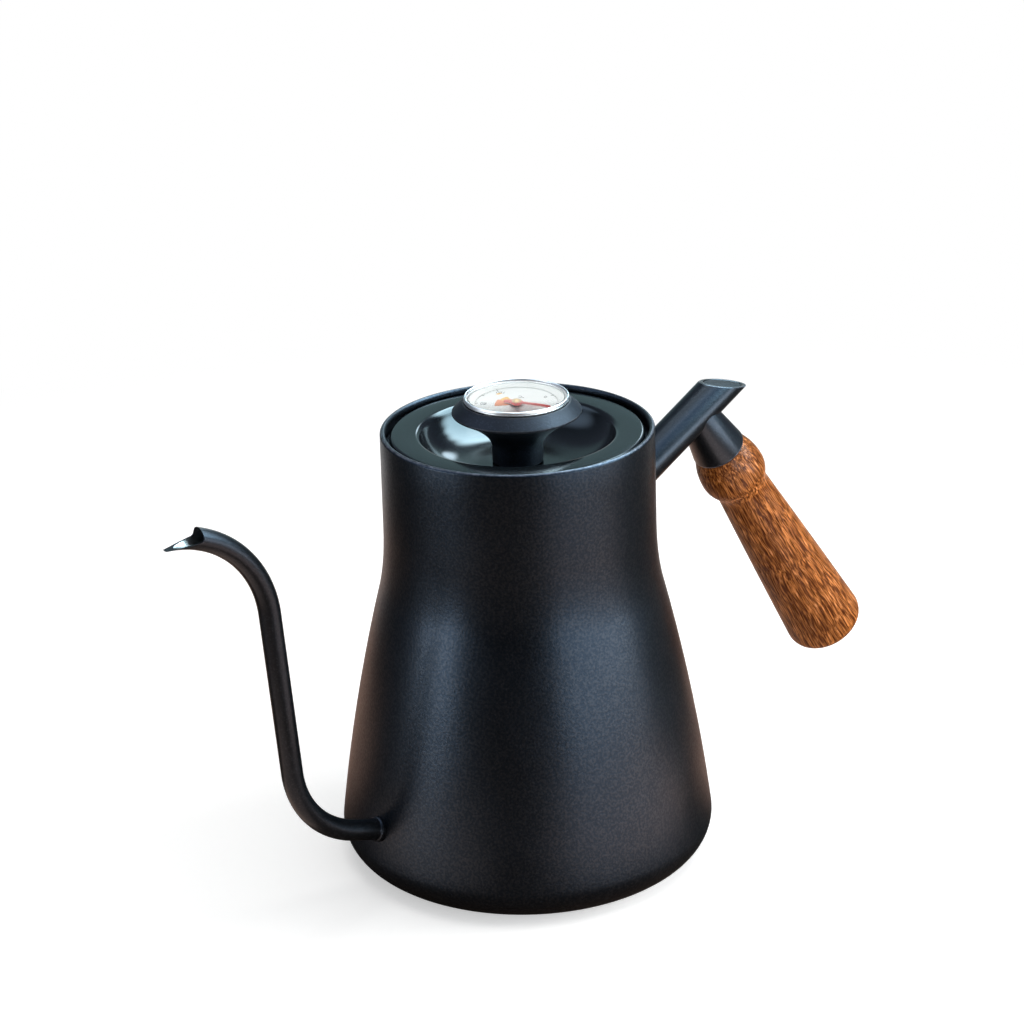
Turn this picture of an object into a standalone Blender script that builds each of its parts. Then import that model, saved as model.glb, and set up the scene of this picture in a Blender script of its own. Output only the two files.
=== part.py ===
"""Gooseneck pour-over kettle: steel body, wooden grip, lid with a dial thermometer.

The spout points along -X and the handle along +X. The base rests on Z = 0.
Lengths are in metres and angles in degrees.
"""

import math

import bmesh
import bpy
from mathutils import Matrix, Vector

# Fits and sheet
FIT = 0.0003                # clearance left between two pieces that touch
SHEET = 0.0009              # pressed steel wall of body, lid and seat

# Body
BASE_DIAMETER = 0.125
BASE_CORNER = 0.0105        # radius of the lower edge
BASE_LIFT = 0.0004          # the wall's lower face stays this far above the table
BASE_FLANGE = 0.0055        # width of the wall's turned-in bottom
BASE_LAP = 0.0035           # how far the base plate laps over that flange
BASE_PLATE = 0.0012
RIM_HEIGHT = 0.148
RIM_BEAD = 0.0009           # radius of the rolled rim
NECK_DIAMETER = 0.0884
NECK_LEAN = 0.5
WAIST_TOP = 0.115
WAIST_BEND = 0.102
WAIST_LOW = 0.093
FLANK_LEAN = 14.4

# Spout
SPOUT_DIAMETER = 0.007
SPOUT_WALL = 0.0006
SPOUT_FOOT_DIAMETER = 0.0082
SPOUT_FOOT = 0.0014         # length of the thicker foot on the wall
SPOUT_ROOT_Z = 0.0232
SPOUT_RISE = 17.5           # climb of the tube where it leaves the wall
SPOUT_REACH = 0.0095        # straight length before the lower bend
SPOUT_LOW_BEND = 0.032
SPOUT_LEAN = 4.3            # lean of the upright run, away from the body
SPOUT_RUN = 0.0563
SPOUT_TOP_BEND = 0.0363
SPOUT_END_RISE = 5.0
SPOUT_LIP = 0.0009          # straight length at the mouth
BEAK_LENGTH = 0.0104        # how far the lower lip runs past the upper one
BEAK_BACK = 0.0015          # how far the notch is cut behind the upper lip
BEAK_NOTCH = 0.0033         # depth of the notch below the upper lip
BEAK_TIP = 0.0002           # steel left under the cut at the tip

# Handle arm and socket
ARM_DIAMETER = 0.0129
ARM_WALL = 0.0012
ARM_ROOT_DROP = 0.0317      # the arm leaves the neck this far below the rim
ARM_RISE = 31.0
ARM_LENGTH = 0.0366         # from the neck to the grip's axis
ARM_BEYOND = 0.0142         # from the grip's axis to the middle of the mitred end
ARM_END_SLOPE = 12.0        # fall of the mitred face, outwards
ARM_CAP = 0.0012
GRIP_FALL = 56.9            # how steeply the grip falls, below level
SOCKET_LENGTH = 0.0192      # from the arm's axis to the socket's lower edge
SOCKET_TOP = 0.0040         # the socket's upper edge, from the arm's axis
SOCKET_TOP_DIAMETER = 0.0162
SOCKET_DIAMETER = 0.019
SOCKET_EDGE = 0.0010        # rounding of the lower edge
SOCKET_BORE = 0.0136
SOCKET_DEPTH = 0.0085       # depth of the bore for the grip's tenon

# Grip
GRIP_LENGTH = 0.098
GRIP_SEAT_DIAMETER = 0.0178
BEAD_DIAMETER = 0.0232
BEAD_MIDDLE = 0.0112
GRIP_NECK_DIAMETER = 0.0188
GRIP_NECK_AT = 0.0202
GRIP_END_DIAMETER = 0.0278
GRIP_END_ROUND = 0.0057
STUD_DIAMETER = 0.006
STUD_LENGTH = 0.034
INSERT_WALL = 0.0013
INSERT_LENGTH = 0.018
INSERT_DROP = 0.004         # the insert starts this far below the tenon's end

# Lid
LID_GAP = 0.0012            # open ring between the rim and the lid
LID_DROP = 0.0014           # the lid's flat ring lies this far below the rim
LID_EDGE = 0.0013           # rounding of the lid's outer edge
LID_FLANGE = 0.0032         # height of the lid's turned-down edge
DISH_DIAMETER = 0.0642
DISH_DEPTH = 0.0103
DISH_FLAT_DIAMETER = 0.025
DISH_EDGE = 0.0012
SKIRT_WALL = 0.0007
SKIRT_HEIGHT = 0.011
SEAT_DEPTH = 0.006          # height of the seat ring's leg
VENT_DIAMETER = 0.0034
VENT_RING_DIAMETER = 0.0726
VENT_PITCH = 10.9
VENT_COUNT = 3
VENT_MIDDLE = 53.0          # direction of the middle vent from the handle

# Knob and its bolt
KNOB_NECK_DIAMETER = 0.0165
KNOB_DIAMETER = 0.0418
KNOB_EDGE_RISE = 0.0064     # height of the knob's widest edge above the lid ring
KNOB_EDGE = 0.0006          # thickness of that edge
KNOB_BEVEL = 0.0034         # height of the bevel above the widest edge
KNOB_TOP_DIAMETER = 0.0348
BOLT_DIAMETER = 0.0084
BOLT_BORE = 0.0058
BOLT_HEAD_DIAMETER = 0.0124
BOLT_HEAD = 0.0016
BOLT_END = 0.0012           # thread left below the nut
NUT_WIDTH = 0.013
NUT_HEIGHT = 0.0034
WASHER_DIAMETER = 0.018
WASHER_HEIGHT = 0.001

# Thermometer
CASE_DIAMETER = 0.0324
CASE_WALL = 0.0006
CASE_DEPTH = 0.0049
CASE_LIP = 0.0007           # width of the case's turned-out lip
CASE_LIP_HEIGHT = 0.0004
DIAL_RISE = 0.0011          # dial plate above the case floor
DIAL_PLATE = 0.0005
SPACER_WALL = 0.0009
LENS_HEIGHT = 0.001
BEZEL_HEIGHT = 0.0006
BEZEL_COVER = 0.0006        # how far the bezel reaches over the lens
STEM_DIAMETER = 0.0046
STEM_WALL = 0.0005
STEM_LENGTH = 0.093         # from the case floor to the tip
STEM_HEAD_DIAMETER = 0.0066
STEM_HEAD = 0.0005
BUSH_LENGTH = 0.003
ARBOR_DIAMETER = 0.0012
ARBOR_LENGTH = 0.088
COIL_STRIP = 0.0003         # thickness of the bimetal strip
COIL_STRIP_WIDTH = 0.0008
COIL_PITCH = 0.0016
COIL_TURNS = 8
COIL_POINTS = 9             # points in each turn
COIL_FLOOR = 0.004          # the coil's lower end above the stem's tip
POINTER_TIP = 0.0118
POINTER_TAIL = 0.0062
POINTER_WIDTH = 0.0009
POINTER_TAIL_WIDTH = 0.0026
POINTER_EYE = 0.0018        # radius of the disc round the arbor
POINTER_SHEET = 0.0003
POINTER_REST = -54.0        # direction of the tip at rest, from the handle
HUB_DIAMETER = 0.0030
HUB_HEIGHT = 0.0003

# Facets
BODY_STEPS = 36
DIAL_STEPS = 32
GRIP_STEPS = 24
ROD_STEPS = 16

BLACK = (0.018, 0.019, 0.022)
STEEL = (0.56, 0.57, 0.58)
BRASS = (0.72, 0.52, 0.25)
WOOD = (0.30, 0.13, 0.045)
WHITE = (0.86, 0.87, 0.86)
RED = (0.62, 0.05, 0.03)
GLASS = (0.78, 0.82, 0.84)


def slope(angle):
    """Run per unit of height for a lean given in degrees."""
    return math.tan(math.radians(angle))


def heading(angle):
    """Unit vector in the XZ plane, at an angle above +X."""
    return Vector((math.cos(math.radians(angle)), 0, math.sin(math.radians(angle))))


def arc(centre, radius, start, end, count):
    """Points of an arc in (radius, height), with angles in degrees."""
    points = []
    for i in range(count + 1):
        angle = math.radians(start + (end - start) * i / count)
        points.append((centre[0] + radius * math.cos(angle), centre[1] + radius * math.sin(angle)))
    return points


def curve(first, bend, last, count):
    """Points of a curve that leaves first and reaches last along the lines through bend."""
    points = []
    for i in range(count + 1):
        t = i / count
        weights = ((1 - t) ** 2, 2 * t * (1 - t), t ** 2)
        points.append(tuple(sum(w * p[k] for w, p in zip(weights, (first, bend, last))) for k in (0, 1)))
    return points


def offset(points, distance):
    """The same outline, moved to its left side by a distance."""
    moved = []
    for i, point in enumerate(points):
        before = Vector(points[max(i - 1, 0)])
        after = Vector(points[min(i + 1, len(points) - 1)])
        here = Vector(point)
        ways = [v.normalized() for v in (here - before, after - here) if v.length > 0]
        along = sum(ways, Vector((0, 0))).normalized()
        reach = distance / along.dot(ways[0])
        moved.append((here.x - along.y * reach, here.y + along.x * reach))
    return moved


def section(inner, outer, low, high):
    """Square section of a plain ring."""
    return [(inner, low), (outer, low), (outer, high), (inner, high)]


def finish(name, colour, roughness, metallic):
    """Principled material for one sub-part."""
    material = bpy.data.materials.new(name)
    material.use_nodes = True
    shader = material.node_tree.nodes["Principled BSDF"]
    shader.inputs["Base Color"].default_value = (*colour, 1)
    shader.inputs["Roughness"].default_value = roughness
    shader.inputs["Metallic"].default_value = metallic
    return material


def add_object(name, mesh_data, material=None):
    """Turn a bmesh into a named object with outward faces and one material."""
    bmesh.ops.recalc_face_normals(mesh_data, faces=mesh_data.faces)
    mesh = bpy.data.meshes.new(name)
    mesh_data.to_mesh(mesh)
    mesh_data.free()
    part = bpy.data.objects.new(name, mesh)
    bpy.context.scene.collection.objects.link(part)
    if material:
        mesh.materials.append(material)
    mesh.shade_smooth()
    mesh.set_sharp_from_angle(angle=math.radians(35))
    return part


def join_rings(mesh_data, first, second):
    """Faces between two rings of vertices; a ring of one vertex is a pole."""
    count = max(len(first), len(second))
    for i in range(count):
        corners = [first[i % len(first)], first[(i + 1) % len(first)]]
        corners += [second[(i + 1) % len(second)], second[i % len(second)]]
        mesh_data.faces.new(list(dict.fromkeys(corners)))


def turned(name, profile, material=None, steps=BODY_STEPS):
    """Solid made by turning a closed (radius, height) outline about Z."""
    mesh_data = bmesh.new()
    rings = []
    for radius, height in profile:
        count = 1 if radius == 0 else steps
        angles = [2 * math.pi * i / steps for i in range(count)]
        points = [(radius * math.cos(a), radius * math.sin(a), height) for a in angles]
        rings.append([mesh_data.verts.new(point) for point in points])
    for i, ring in enumerate(rings):
        following = rings[(i + 1) % len(rings)]
        if len(ring) > 1 or len(following) > 1:
            join_rings(mesh_data, ring, following)
    return add_object(name, mesh_data, material)


def skinned(name, rings, material=None, looped=False):
    """Solid through rings of points; looped joins the last ring to the first, else both ends are filled."""
    mesh_data = bmesh.new()
    loops = [[mesh_data.verts.new(point) for point in ring] for ring in rings]
    for first, second in zip(loops, loops[1:]):
        join_rings(mesh_data, first, second)
    if looped:
        join_rings(mesh_data, loops[-1], loops[0])
    else:
        mesh_data.faces.new(loops[0])
        mesh_data.faces.new(loops[-1])
    return add_object(name, mesh_data, material)


def extruded(name, outline, low, high, material=None):
    """Solid plate or prism: a closed (x, y) outline between two heights."""
    return skinned(name, [[(x, y, z) for x, y in outline] for z in (low, high)], material)


def place(part, origin, along):
    """Move a piece made about Z to an axis in the XZ plane; its local X then lies in that plane."""
    across = Vector((0, 1, 0))
    side = across.cross(along)
    frame = Matrix((side, across, along)).transposed().to_4x4()
    part.matrix_world = Matrix.Translation(origin) @ frame
    return part


def cut(part, cutter):
    """Take a helper solid away from a piece; the helper itself isn't part of the kettle."""
    cutter.hide_render = True
    cutter.display_type = "WIRE"
    modifier = part.modifiers.new(cutter.name, "BOOLEAN")
    modifier.operation = "DIFFERENCE"
    modifier.solver = "EXACT"
    modifier.object = cutter


# Levels and radii that several pieces share
NECK_RADIUS = NECK_DIAMETER / 2
RIM_SIDE = RIM_HEIGHT - RIM_BEAD
FLANGE_RADIUS = BASE_DIAMETER / 2 - BASE_CORNER - BASE_FLANGE
SPOUT_RADIUS = SPOUT_DIAMETER / 2
ARM_RADIUS = ARM_DIAMETER / 2
ARM_ALONG = heading(ARM_RISE)
GRIP_ALONG = heading(-GRIP_FALL)
GRIP_TOP = SOCKET_LENGTH + FIT
TENON_RADIUS = SOCKET_BORE / 2 - FIT
TENON_END = SOCKET_LENGTH - SOCKET_DEPTH + FIT
INSERT_RADIUS = STUD_DIAMETER / 2 + FIT + INSERT_WALL

LID_RADIUS = NECK_RADIUS - 2 * RIM_BEAD - LID_GAP
LID_TOP = RIM_HEIGHT - LID_DROP
DISH_FLOOR = LID_TOP - DISH_DEPTH
SKIRT_RADIUS = LID_RADIUS - SHEET - 2 * FIT
SEAT_TOP = LID_TOP - LID_FLANGE - FIT
KNOB_FOOT = DISH_FLOOR + FIT
KNOB_EDGE_Z = LID_TOP + KNOB_EDGE_RISE
KNOB_TOP = KNOB_EDGE_Z + KNOB_EDGE + KNOB_BEVEL
BOLT_RADIUS = BOLT_DIAMETER / 2
WASHER_TOP = DISH_FLOOR - SHEET - FIT
NUT_TOP = WASHER_TOP - WASHER_HEIGHT - FIT

CASE_RADIUS = CASE_DIAMETER / 2
CASE_INSIDE = CASE_RADIUS - CASE_WALL
CASE_LIP_LOW = KNOB_TOP + FIT
CASE_TOP = CASE_LIP_LOW + CASE_LIP_HEIGHT
CASE_LOW = CASE_TOP - CASE_DEPTH
CASE_FLOOR = CASE_LOW + CASE_WALL
CUP_FLOOR = CASE_LOW - FIT
CUP_RADIUS = CASE_RADIUS + FIT
HEAD_SEAT = CUP_FLOOR - BOLT_HEAD - 2 * FIT
DIAL_LOW = CASE_FLOOR + DIAL_RISE
DIAL_TOP = DIAL_LOW + DIAL_PLATE
DIAL_RADIUS = CASE_INSIDE - FIT
LENS_TOP = CASE_TOP
LENS_LOW = LENS_TOP - LENS_HEIGHT
STEM_RADIUS = STEM_DIAMETER / 2
STEM_TIP = CASE_FLOOR - STEM_LENGTH
ARBOR_RADIUS = ARBOR_DIAMETER / 2
POINTER_LOW = DIAL_TOP + FIT
ARBOR_TOP = POINTER_LOW + POINTER_SHEET
HUB_LOW = ARBOR_TOP + FIT


def wall_outline():
    """Outer wall from the flat bottom, round the corner, up the flank and waist to the rim."""
    lean = math.radians(FLANK_LEAN)
    top = (NECK_RADIUS + (RIM_SIDE - WAIST_TOP) * slope(NECK_LEAN), WAIST_TOP)
    bend = (NECK_RADIUS + (RIM_SIDE - WAIST_BEND) * slope(NECK_LEAN), WAIST_BEND)
    low = (bend[0] + (WAIST_BEND - WAIST_LOW) * slope(FLANK_LEAN), WAIST_LOW)
    centre = (BASE_DIAMETER / 2 - BASE_CORNER, BASE_LIFT + BASE_CORNER)
    # The flank is one arc that leaves the corner and reaches the waist without a kink
    start_lean = 0.0
    for _ in range(30):
        start = arc(centre, BASE_CORNER, math.degrees(start_lean), 0, 1)[0]
        start_lean = 2 * math.atan2(start[0] - low[0], low[1] - start[1]) - lean
    radius = (low[1] - start[1]) / (math.sin(lean) - math.sin(start_lean))
    flank_centre = (start[0] - radius * math.cos(start_lean), start[1] - radius * math.sin(start_lean))
    outline = [(FLANGE_RADIUS, BASE_LIFT)]
    outline += arc(centre, BASE_CORNER, -90, math.degrees(start_lean), 4)
    outline += arc(flank_centre, radius, math.degrees(start_lean), FLANK_LEAN, 5)[1:]
    outline += curve(low, bend, top, 4)[1:]
    return outline + [(NECK_RADIUS, RIM_SIDE)]


def wall_radius(height):
    """Outer radius of the wall at a height."""
    outline = wall_outline()
    for low, high in zip(outline, outline[1:]):
        if low[1] <= height <= high[1]:
            return low[0] + (high[0] - low[0]) * (height - low[1]) / (high[1] - low[1])
    return outline[-1][0]


def wall_keepout(name):
    """Helper solid of the whole body, grown by the fit, that shapes what is joined to the wall."""
    grown = offset(wall_outline(), -FIT)
    return turned(name, [(0, grown[0][1]), *grown, (0, grown[-1][1])])


def body_shell():
    outer = wall_outline()
    bead_centre = (NECK_RADIUS - RIM_BEAD, RIM_SIDE)
    bead = arc(bead_centre, RIM_BEAD, 0, 180, 4)[1:]
    bead_foot = (NECK_RADIUS - 2 * RIM_BEAD, RIM_SIDE - RIM_BEAD)
    inner_top = (NECK_RADIUS - SHEET, RIM_SIDE - 2 * RIM_BEAD)
    inner = offset(outer, SHEET)[:-1]
    profile = outer + bead + [bead_foot, inner_top] + inner[::-1]
    shell = turned("body_shell", profile, finish("coated_body", BLACK, 0.5, 0.2))
    hole = section(0, SPOUT_RADIUS - SPOUT_WALL, -SPOUT_DIAMETER, SPOUT_DIAMETER)
    bore = turned("spout_hole_cutter", hole, steps=ROD_STEPS)
    place(bore, spout_root(), heading(180 - SPOUT_RISE))
    cut(shell, bore)


def base_plate():
    rim = FLANGE_RADIUS - FIT
    lap = FLANGE_RADIUS + BASE_LAP
    lap_low = BASE_LIFT + SHEET + FIT
    profile = [(0, 0), (rim - BASE_LIFT, 0), (rim, BASE_LIFT), (rim, lap_low), (lap, lap_low)]
    profile += [(lap, lap_low + BASE_PLATE), (rim - BASE_PLATE, lap_low + BASE_PLATE)]
    profile += [(rim - BASE_PLATE - lap_low, BASE_PLATE), (0, BASE_PLATE)]
    turned("base_plate", profile, finish("base_steel", STEEL, 0.35, 1))


def lid_seat_ring():
    outer = NECK_RADIUS - SHEET - FIT
    bore = SKIRT_RADIUS + FIT
    leg = outer - SHEET
    low = SEAT_TOP - SEAT_DEPTH
    profile = [(bore, SEAT_TOP - SHEET), (leg, SEAT_TOP - SHEET), (leg, low), (outer, low)]
    profile += [(outer, SEAT_TOP), (bore, SEAT_TOP)]
    turned("lid_seat_ring", profile, finish("seat_steel", STEEL, 0.3, 1))


def spout_root():
    """Where the spout's axis meets the wall."""
    return Vector((-wall_radius(SPOUT_ROOT_Z), 0, SPOUT_ROOT_Z))


def spout_path():
    """Stations of the gooseneck: (point, climb above -X in degrees, distance from the wall)."""
    start = spout_root() - heading(180 - SPOUT_RISE) * SPOUT_DIAMETER
    stations = [(start, SPOUT_RISE, -SPOUT_DIAMETER)]

    def run(length, end_rise, count):
        """Add a straight run, or a bend when the climb changes, in equal steps."""
        first_rise = stations[-1][1]
        for i in range(count):
            point, _, travelled = stations[-1]
            middle = first_rise + (end_rise - first_rise) * (i + 0.5) / count
            rise = first_rise + (end_rise - first_rise) * (i + 1) / count
            half_turn = math.radians(end_rise - first_rise) / count / 2
            chord = length / count * (math.sin(half_turn) / half_turn if half_turn else 1)
            stations.append((point + heading(180 - middle) * chord, rise, travelled + length / count))

    upright = 90 - SPOUT_LEAN
    run(SPOUT_DIAMETER + SPOUT_FOOT, SPOUT_RISE, 1)
    run(FIT, SPOUT_RISE, 1)
    run(SPOUT_REACH - SPOUT_FOOT - FIT, SPOUT_RISE, 1)
    run(SPOUT_LOW_BEND * math.radians(upright - SPOUT_RISE), upright, 8)
    run(SPOUT_RUN, upright, 3)
    run(SPOUT_TOP_BEND * math.radians(upright - SPOUT_END_RISE), SPOUT_END_RISE, 12)
    run(SPOUT_LIP, SPOUT_END_RISE, 1)
    return stations


def beak_cutter():
    """Prism that takes the upper front off the mouth, with a rounded notch behind the upper lip."""
    stations = spout_path()
    end = stations[-1][2]

    def mark(back, above):
        """A point of the side view, back from the mouth and above the tube's axis."""
        for first, second in zip(stations, stations[1:]):
            if first[2] <= end - back <= second[2]:
                share = (end - back - first[2]) / (second[2] - first[2])
                point = first[0].lerp(second[0], share)
                rise = first[1] + (second[1] - first[1]) * share
                return point + heading(90 - rise) * above
        return None

    lip = mark(BEAK_LENGTH, SPOUT_RADIUS)
    over = mark(BEAK_LENGTH, 2 * SPOUT_DIAMETER)
    notch = mark(BEAK_LENGTH + BEAK_BACK, SPOUT_RADIUS - BEAK_NOTCH)
    tip = mark(0, BEAK_TIP - SPOUT_RADIUS)
    far = tip + heading(180 - SPOUT_END_RISE) * SPOUT_DIAMETER
    into = lip.lerp(notch, 0.55)
    out = notch.lerp(tip, 0.12)
    corner = curve((into.x, into.z), (notch.x, notch.z), (out.x, out.z), 4)
    outline = [(over.x, over.z), (lip.x, lip.z), *corner, (tip.x, tip.z), (far.x, far.z)]
    outline.append((far.x, over.z + SPOUT_DIAMETER))
    outline.append((over.x, over.z + SPOUT_DIAMETER))
    rings = [[(x, y, z) for x, z in outline] for y in (-SPOUT_DIAMETER, SPOUT_DIAMETER)]
    return skinned("beak_cutter", rings)


def spout_tube():
    """Bent tube with a thicker foot, coped to the wall, its mouth cut to a beak."""
    outside = []
    inside = []
    for point, rise, travelled in spout_path():
        up = heading(90 - rise)
        outer = SPOUT_FOOT_DIAMETER / 2 if travelled <= SPOUT_FOOT else SPOUT_RADIUS
        for rings, radius in ((outside, outer), (inside, SPOUT_RADIUS - SPOUT_WALL)):
            angles = [2 * math.pi * i / ROD_STEPS for i in range(ROD_STEPS)]
            across = Vector((0, 1, 0))
            rings.append([point + (up * math.cos(a) + across * math.sin(a)) * radius for a in angles])
    coating = finish("coated_spout", BLACK, 0.35, 0.3)
    tube = skinned("spout_tube", outside + inside[::-1], coating, looped=True)
    cut(tube, wall_keepout("spout_foot_cutter"))
    cut(tube, beak_cutter())


def arm_root():
    """Where the arm's axis meets the neck."""
    height = RIM_HEIGHT - ARM_ROOT_DROP
    return Vector((wall_radius(height), 0, height))


def grip_axis():
    """Where the grip's axis meets the arm's axis."""
    return arm_root() + ARM_ALONG * ARM_LENGTH


def mitred_ring(radius, distance):
    """Ring square to the arm's axis, slid along it so that it lies in the mitred end's plane."""
    fall = 1 / slope(ARM_RISE + ARM_END_SLOPE)
    points = []
    for i in range(ROD_STEPS + 8):
        angle = 2 * math.pi * i / (ROD_STEPS + 8)
        # Local X points down across the arm, so a point lower on the tube reaches further out
        side = radius * math.cos(angle)
        points.append((side, radius * math.sin(angle), distance + side * fall))
    return points


def handle_arm():
    """Tube from the neck, coped to the wall and mitred at its outer end."""
    bore = ARM_RADIUS - ARM_WALL
    end = ARM_LENGTH + ARM_BEYOND
    start_rings = [[(x, y, -ARM_DIAMETER) for x, y, _ in mitred_ring(r, 0)] for r in (ARM_RADIUS, bore)]
    rings = [start_rings[0], mitred_ring(ARM_RADIUS, end), mitred_ring(bore, end), start_rings[1]]
    arm = skinned("handle_arm", rings, finish("coated_arm", BLACK, 0.35, 0.3), looped=True)
    place(arm, arm_root(), ARM_ALONG)
    cut(arm, wall_keepout("arm_foot_cutter"))


def arm_end_cap():
    """Plate let into the arm's mitred end."""
    end = ARM_LENGTH + ARM_BEYOND
    radius = ARM_RADIUS - ARM_WALL - FIT
    depth = ARM_CAP / math.sin(math.radians(ARM_RISE + ARM_END_SLOPE))
    rings = [mitred_ring(radius, end - depth), mitred_ring(radius, end)]
    cap = skinned("arm_end_cap", rings, finish("coated_cap", BLACK, 0.3, 0.3))
    place(cap, arm_root(), ARM_ALONG)


def handle_socket():
    """Flared cup under the arm, coped round it, bored for the tenon and the stud."""
    top = SOCKET_TOP_DIAMETER / 2
    low = SOCKET_DIAMETER / 2
    bore = SOCKET_BORE / 2
    stud_hole = STUD_DIAMETER / 2 + FIT
    web = SOCKET_LENGTH - SOCKET_DEPTH
    edge = arc((low - SOCKET_EDGE, SOCKET_LENGTH - SOCKET_EDGE), SOCKET_EDGE, 0, 90, 4)
    profile = [(stud_hole, SOCKET_TOP), (top, SOCKET_TOP), *edge, (bore, SOCKET_LENGTH)]
    profile += [(bore, web), (stud_hole, web)]
    socket = turned("handle_socket", profile, finish("coated_socket", BLACK, 0.35, 0.3), steps=GRIP_STEPS)
    place(socket, grip_axis(), GRIP_ALONG)
    cope = section(0, ARM_RADIUS + FIT, -SOCKET_DIAMETER, SOCKET_DIAMETER)
    arm_space = turned("socket_cope_cutter", cope, steps=ROD_STEPS + 8)
    place(arm_space, grip_axis(), ARM_ALONG)
    cut(socket, arm_space)


def grip_stud():
    """Stud fixed in the socket's web, over which the grip is screwed."""
    radius = STUD_DIAMETER / 2
    start = ARM_RADIUS + 2 * FIT
    tip = STUD_DIAMETER / 8
    profile = [(0, start), (radius, start), (radius, start + STUD_LENGTH - tip)]
    profile += [(radius - tip, start + STUD_LENGTH), (0, start + STUD_LENGTH)]
    stud = turned("grip_stud", profile, finish("stud_steel", STEEL, 0.35, 1), steps=ROD_STEPS)
    place(stud, grip_axis(), GRIP_ALONG)


def grip_insert():
    """Threaded sleeve held in the wood."""
    start = TENON_END + INSERT_DROP
    profile = section(STUD_DIAMETER / 2 + FIT, INSERT_RADIUS, start, start + INSERT_LENGTH)
    insert = turned("grip_insert", profile, finish("insert_brass", BRASS, 0.35, 1), steps=ROD_STEPS)
    place(insert, grip_axis(), GRIP_ALONG)


def grip_outline():
    """Outside of the grip from its seat under the socket to the end of the wood."""
    seat = GRIP_SEAT_DIAMETER / 2
    bead = BEAD_DIAMETER / 2
    neck = GRIP_NECK_DIAMETER / 2
    end = GRIP_END_DIAMETER / 2
    bead_at = GRIP_TOP + BEAD_MIDDLE
    neck_at = GRIP_TOP + GRIP_NECK_AT
    low = GRIP_TOP + GRIP_LENGTH
    outline = curve((seat, GRIP_TOP), (bead, GRIP_TOP + BEAD_MIDDLE * 0.46), (bead, bead_at), 5)
    swing = ((bead + neck) / 2, (bead_at + neck_at) / 2)
    outline += curve((bead, bead_at), (bead, (bead_at + swing[1]) / 2), swing, 3)[1:]
    outline += curve(swing, (neck, (swing[1] + neck_at) / 2), (neck, neck_at), 3)[1:]
    flare = (end, low - GRIP_END_ROUND)
    middle = ((neck + end) / 2 + 0.05 * (end - neck), (neck_at + flare[1]) / 2)
    outline += curve((neck, neck_at), middle, flare, 5)[1:]
    outline += curve(flare, (end, low), (end - 1.6 * GRIP_END_ROUND, low), 5)[1:]
    return outline


def wood_grip():
    """Turned grip with a tenon in the socket and a blind hole for the insert and stud."""
    hole = INSERT_RADIUS + FIT
    hole_end = ARM_RADIUS + 2 * FIT + STUD_LENGTH + STUD_DIAMETER / 4
    outline = grip_outline()
    low = outline[-1][1]
    profile = [(0, hole_end), (hole, hole_end), (hole, TENON_END), (TENON_RADIUS, TENON_END)]
    profile += [(TENON_RADIUS, GRIP_TOP), *outline, (0, low)]
    grip = turned("wood_grip", profile, finish("lacquered_wood", WOOD, 0.42, 0), steps=GRIP_STEPS)
    place(grip, grip_axis(), GRIP_ALONG)


def lid_outline():
    """Upper side of the lid from its turned-down edge, over the ring, into the dish and to the hole."""
    dish = DISH_DIAMETER / 2
    flat = DISH_FLAT_DIAMETER / 2
    edge_centre = (LID_RADIUS - LID_EDGE, LID_TOP - LID_EDGE)
    outline = [(LID_RADIUS, LID_TOP - LID_FLANGE), *arc(edge_centre, LID_EDGE, 0, 90, 3)]
    brim = arc((dish, LID_TOP - DISH_EDGE), DISH_EDGE, 90, 155, 2)
    # The dish leaves the brim steeply and ends level round the knob
    drop = (brim[-1][1] - DISH_FLOOR) * 0.86
    bend = (brim[-1][0] - drop / slope(65), DISH_FLOOR)
    outline += brim + curve(brim[-1], bend, (flat, DISH_FLOOR), 5)[1:]
    return outline + [(BOLT_RADIUS + FIT, DISH_FLOOR)]


def lid_plate():
    top = lid_outline()
    under = offset(top, SHEET)
    lid = turned("lid_plate", top + under[::-1], finish("lid_steel", BLACK, 0.3, 0.4))
    for i in range(VENT_COUNT):
        angle = math.radians(VENT_MIDDLE + VENT_PITCH * (i - (VENT_COUNT - 1) / 2))
        drill = section(0, VENT_DIAMETER / 2, LID_TOP - 4 * SHEET, LID_TOP + SHEET)
        vent = turned(f"vent_cutter_{i + 1}", drill, steps=12)
        radius = VENT_RING_DIAMETER / 2
        vent.location = (radius * math.cos(angle), radius * math.sin(angle), 0)
        cut(lid, vent)


def lid_skirt():
    high = LID_TOP - SHEET - FIT
    profile = section(SKIRT_RADIUS - SKIRT_WALL, SKIRT_RADIUS, high - SKIRT_HEIGHT, high)
    turned("lid_skirt", profile, finish("skirt_steel", STEEL, 0.3, 1))


def knob_outline():
    """Outside of the knob from its foot up the flared neck to the bevelled top."""
    neck = KNOB_NECK_DIAMETER / 2
    wide = KNOB_DIAMETER / 2
    straight = KNOB_FOOT + 0.3 * (KNOB_EDGE_Z - KNOB_FOOT)
    bend = (neck, straight + 0.45 * (KNOB_EDGE_Z - straight))
    outline = [(neck, KNOB_FOOT), *curve((neck, straight), bend, (wide, KNOB_EDGE_Z), 6)]
    return outline + [(wide, KNOB_EDGE_Z + KNOB_EDGE), (KNOB_TOP_DIAMETER / 2, KNOB_TOP)]


def lid_knob():
    """Flared knob, cupped for the thermometer and bored for the bolt."""
    bore = BOLT_RADIUS + FIT
    head = BOLT_HEAD_DIAMETER / 2 + FIT
    profile = knob_outline() + [(CUP_RADIUS, KNOB_TOP), (CUP_RADIUS, CUP_FLOOR), (head, CUP_FLOOR)]
    profile += [(head, HEAD_SEAT), (bore, HEAD_SEAT), (bore, KNOB_FOOT)]
    turned("lid_knob", profile, finish("knob_plastic", (0.03, 0.033, 0.04), 0.6, 0), steps=DIAL_STEPS)


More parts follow.
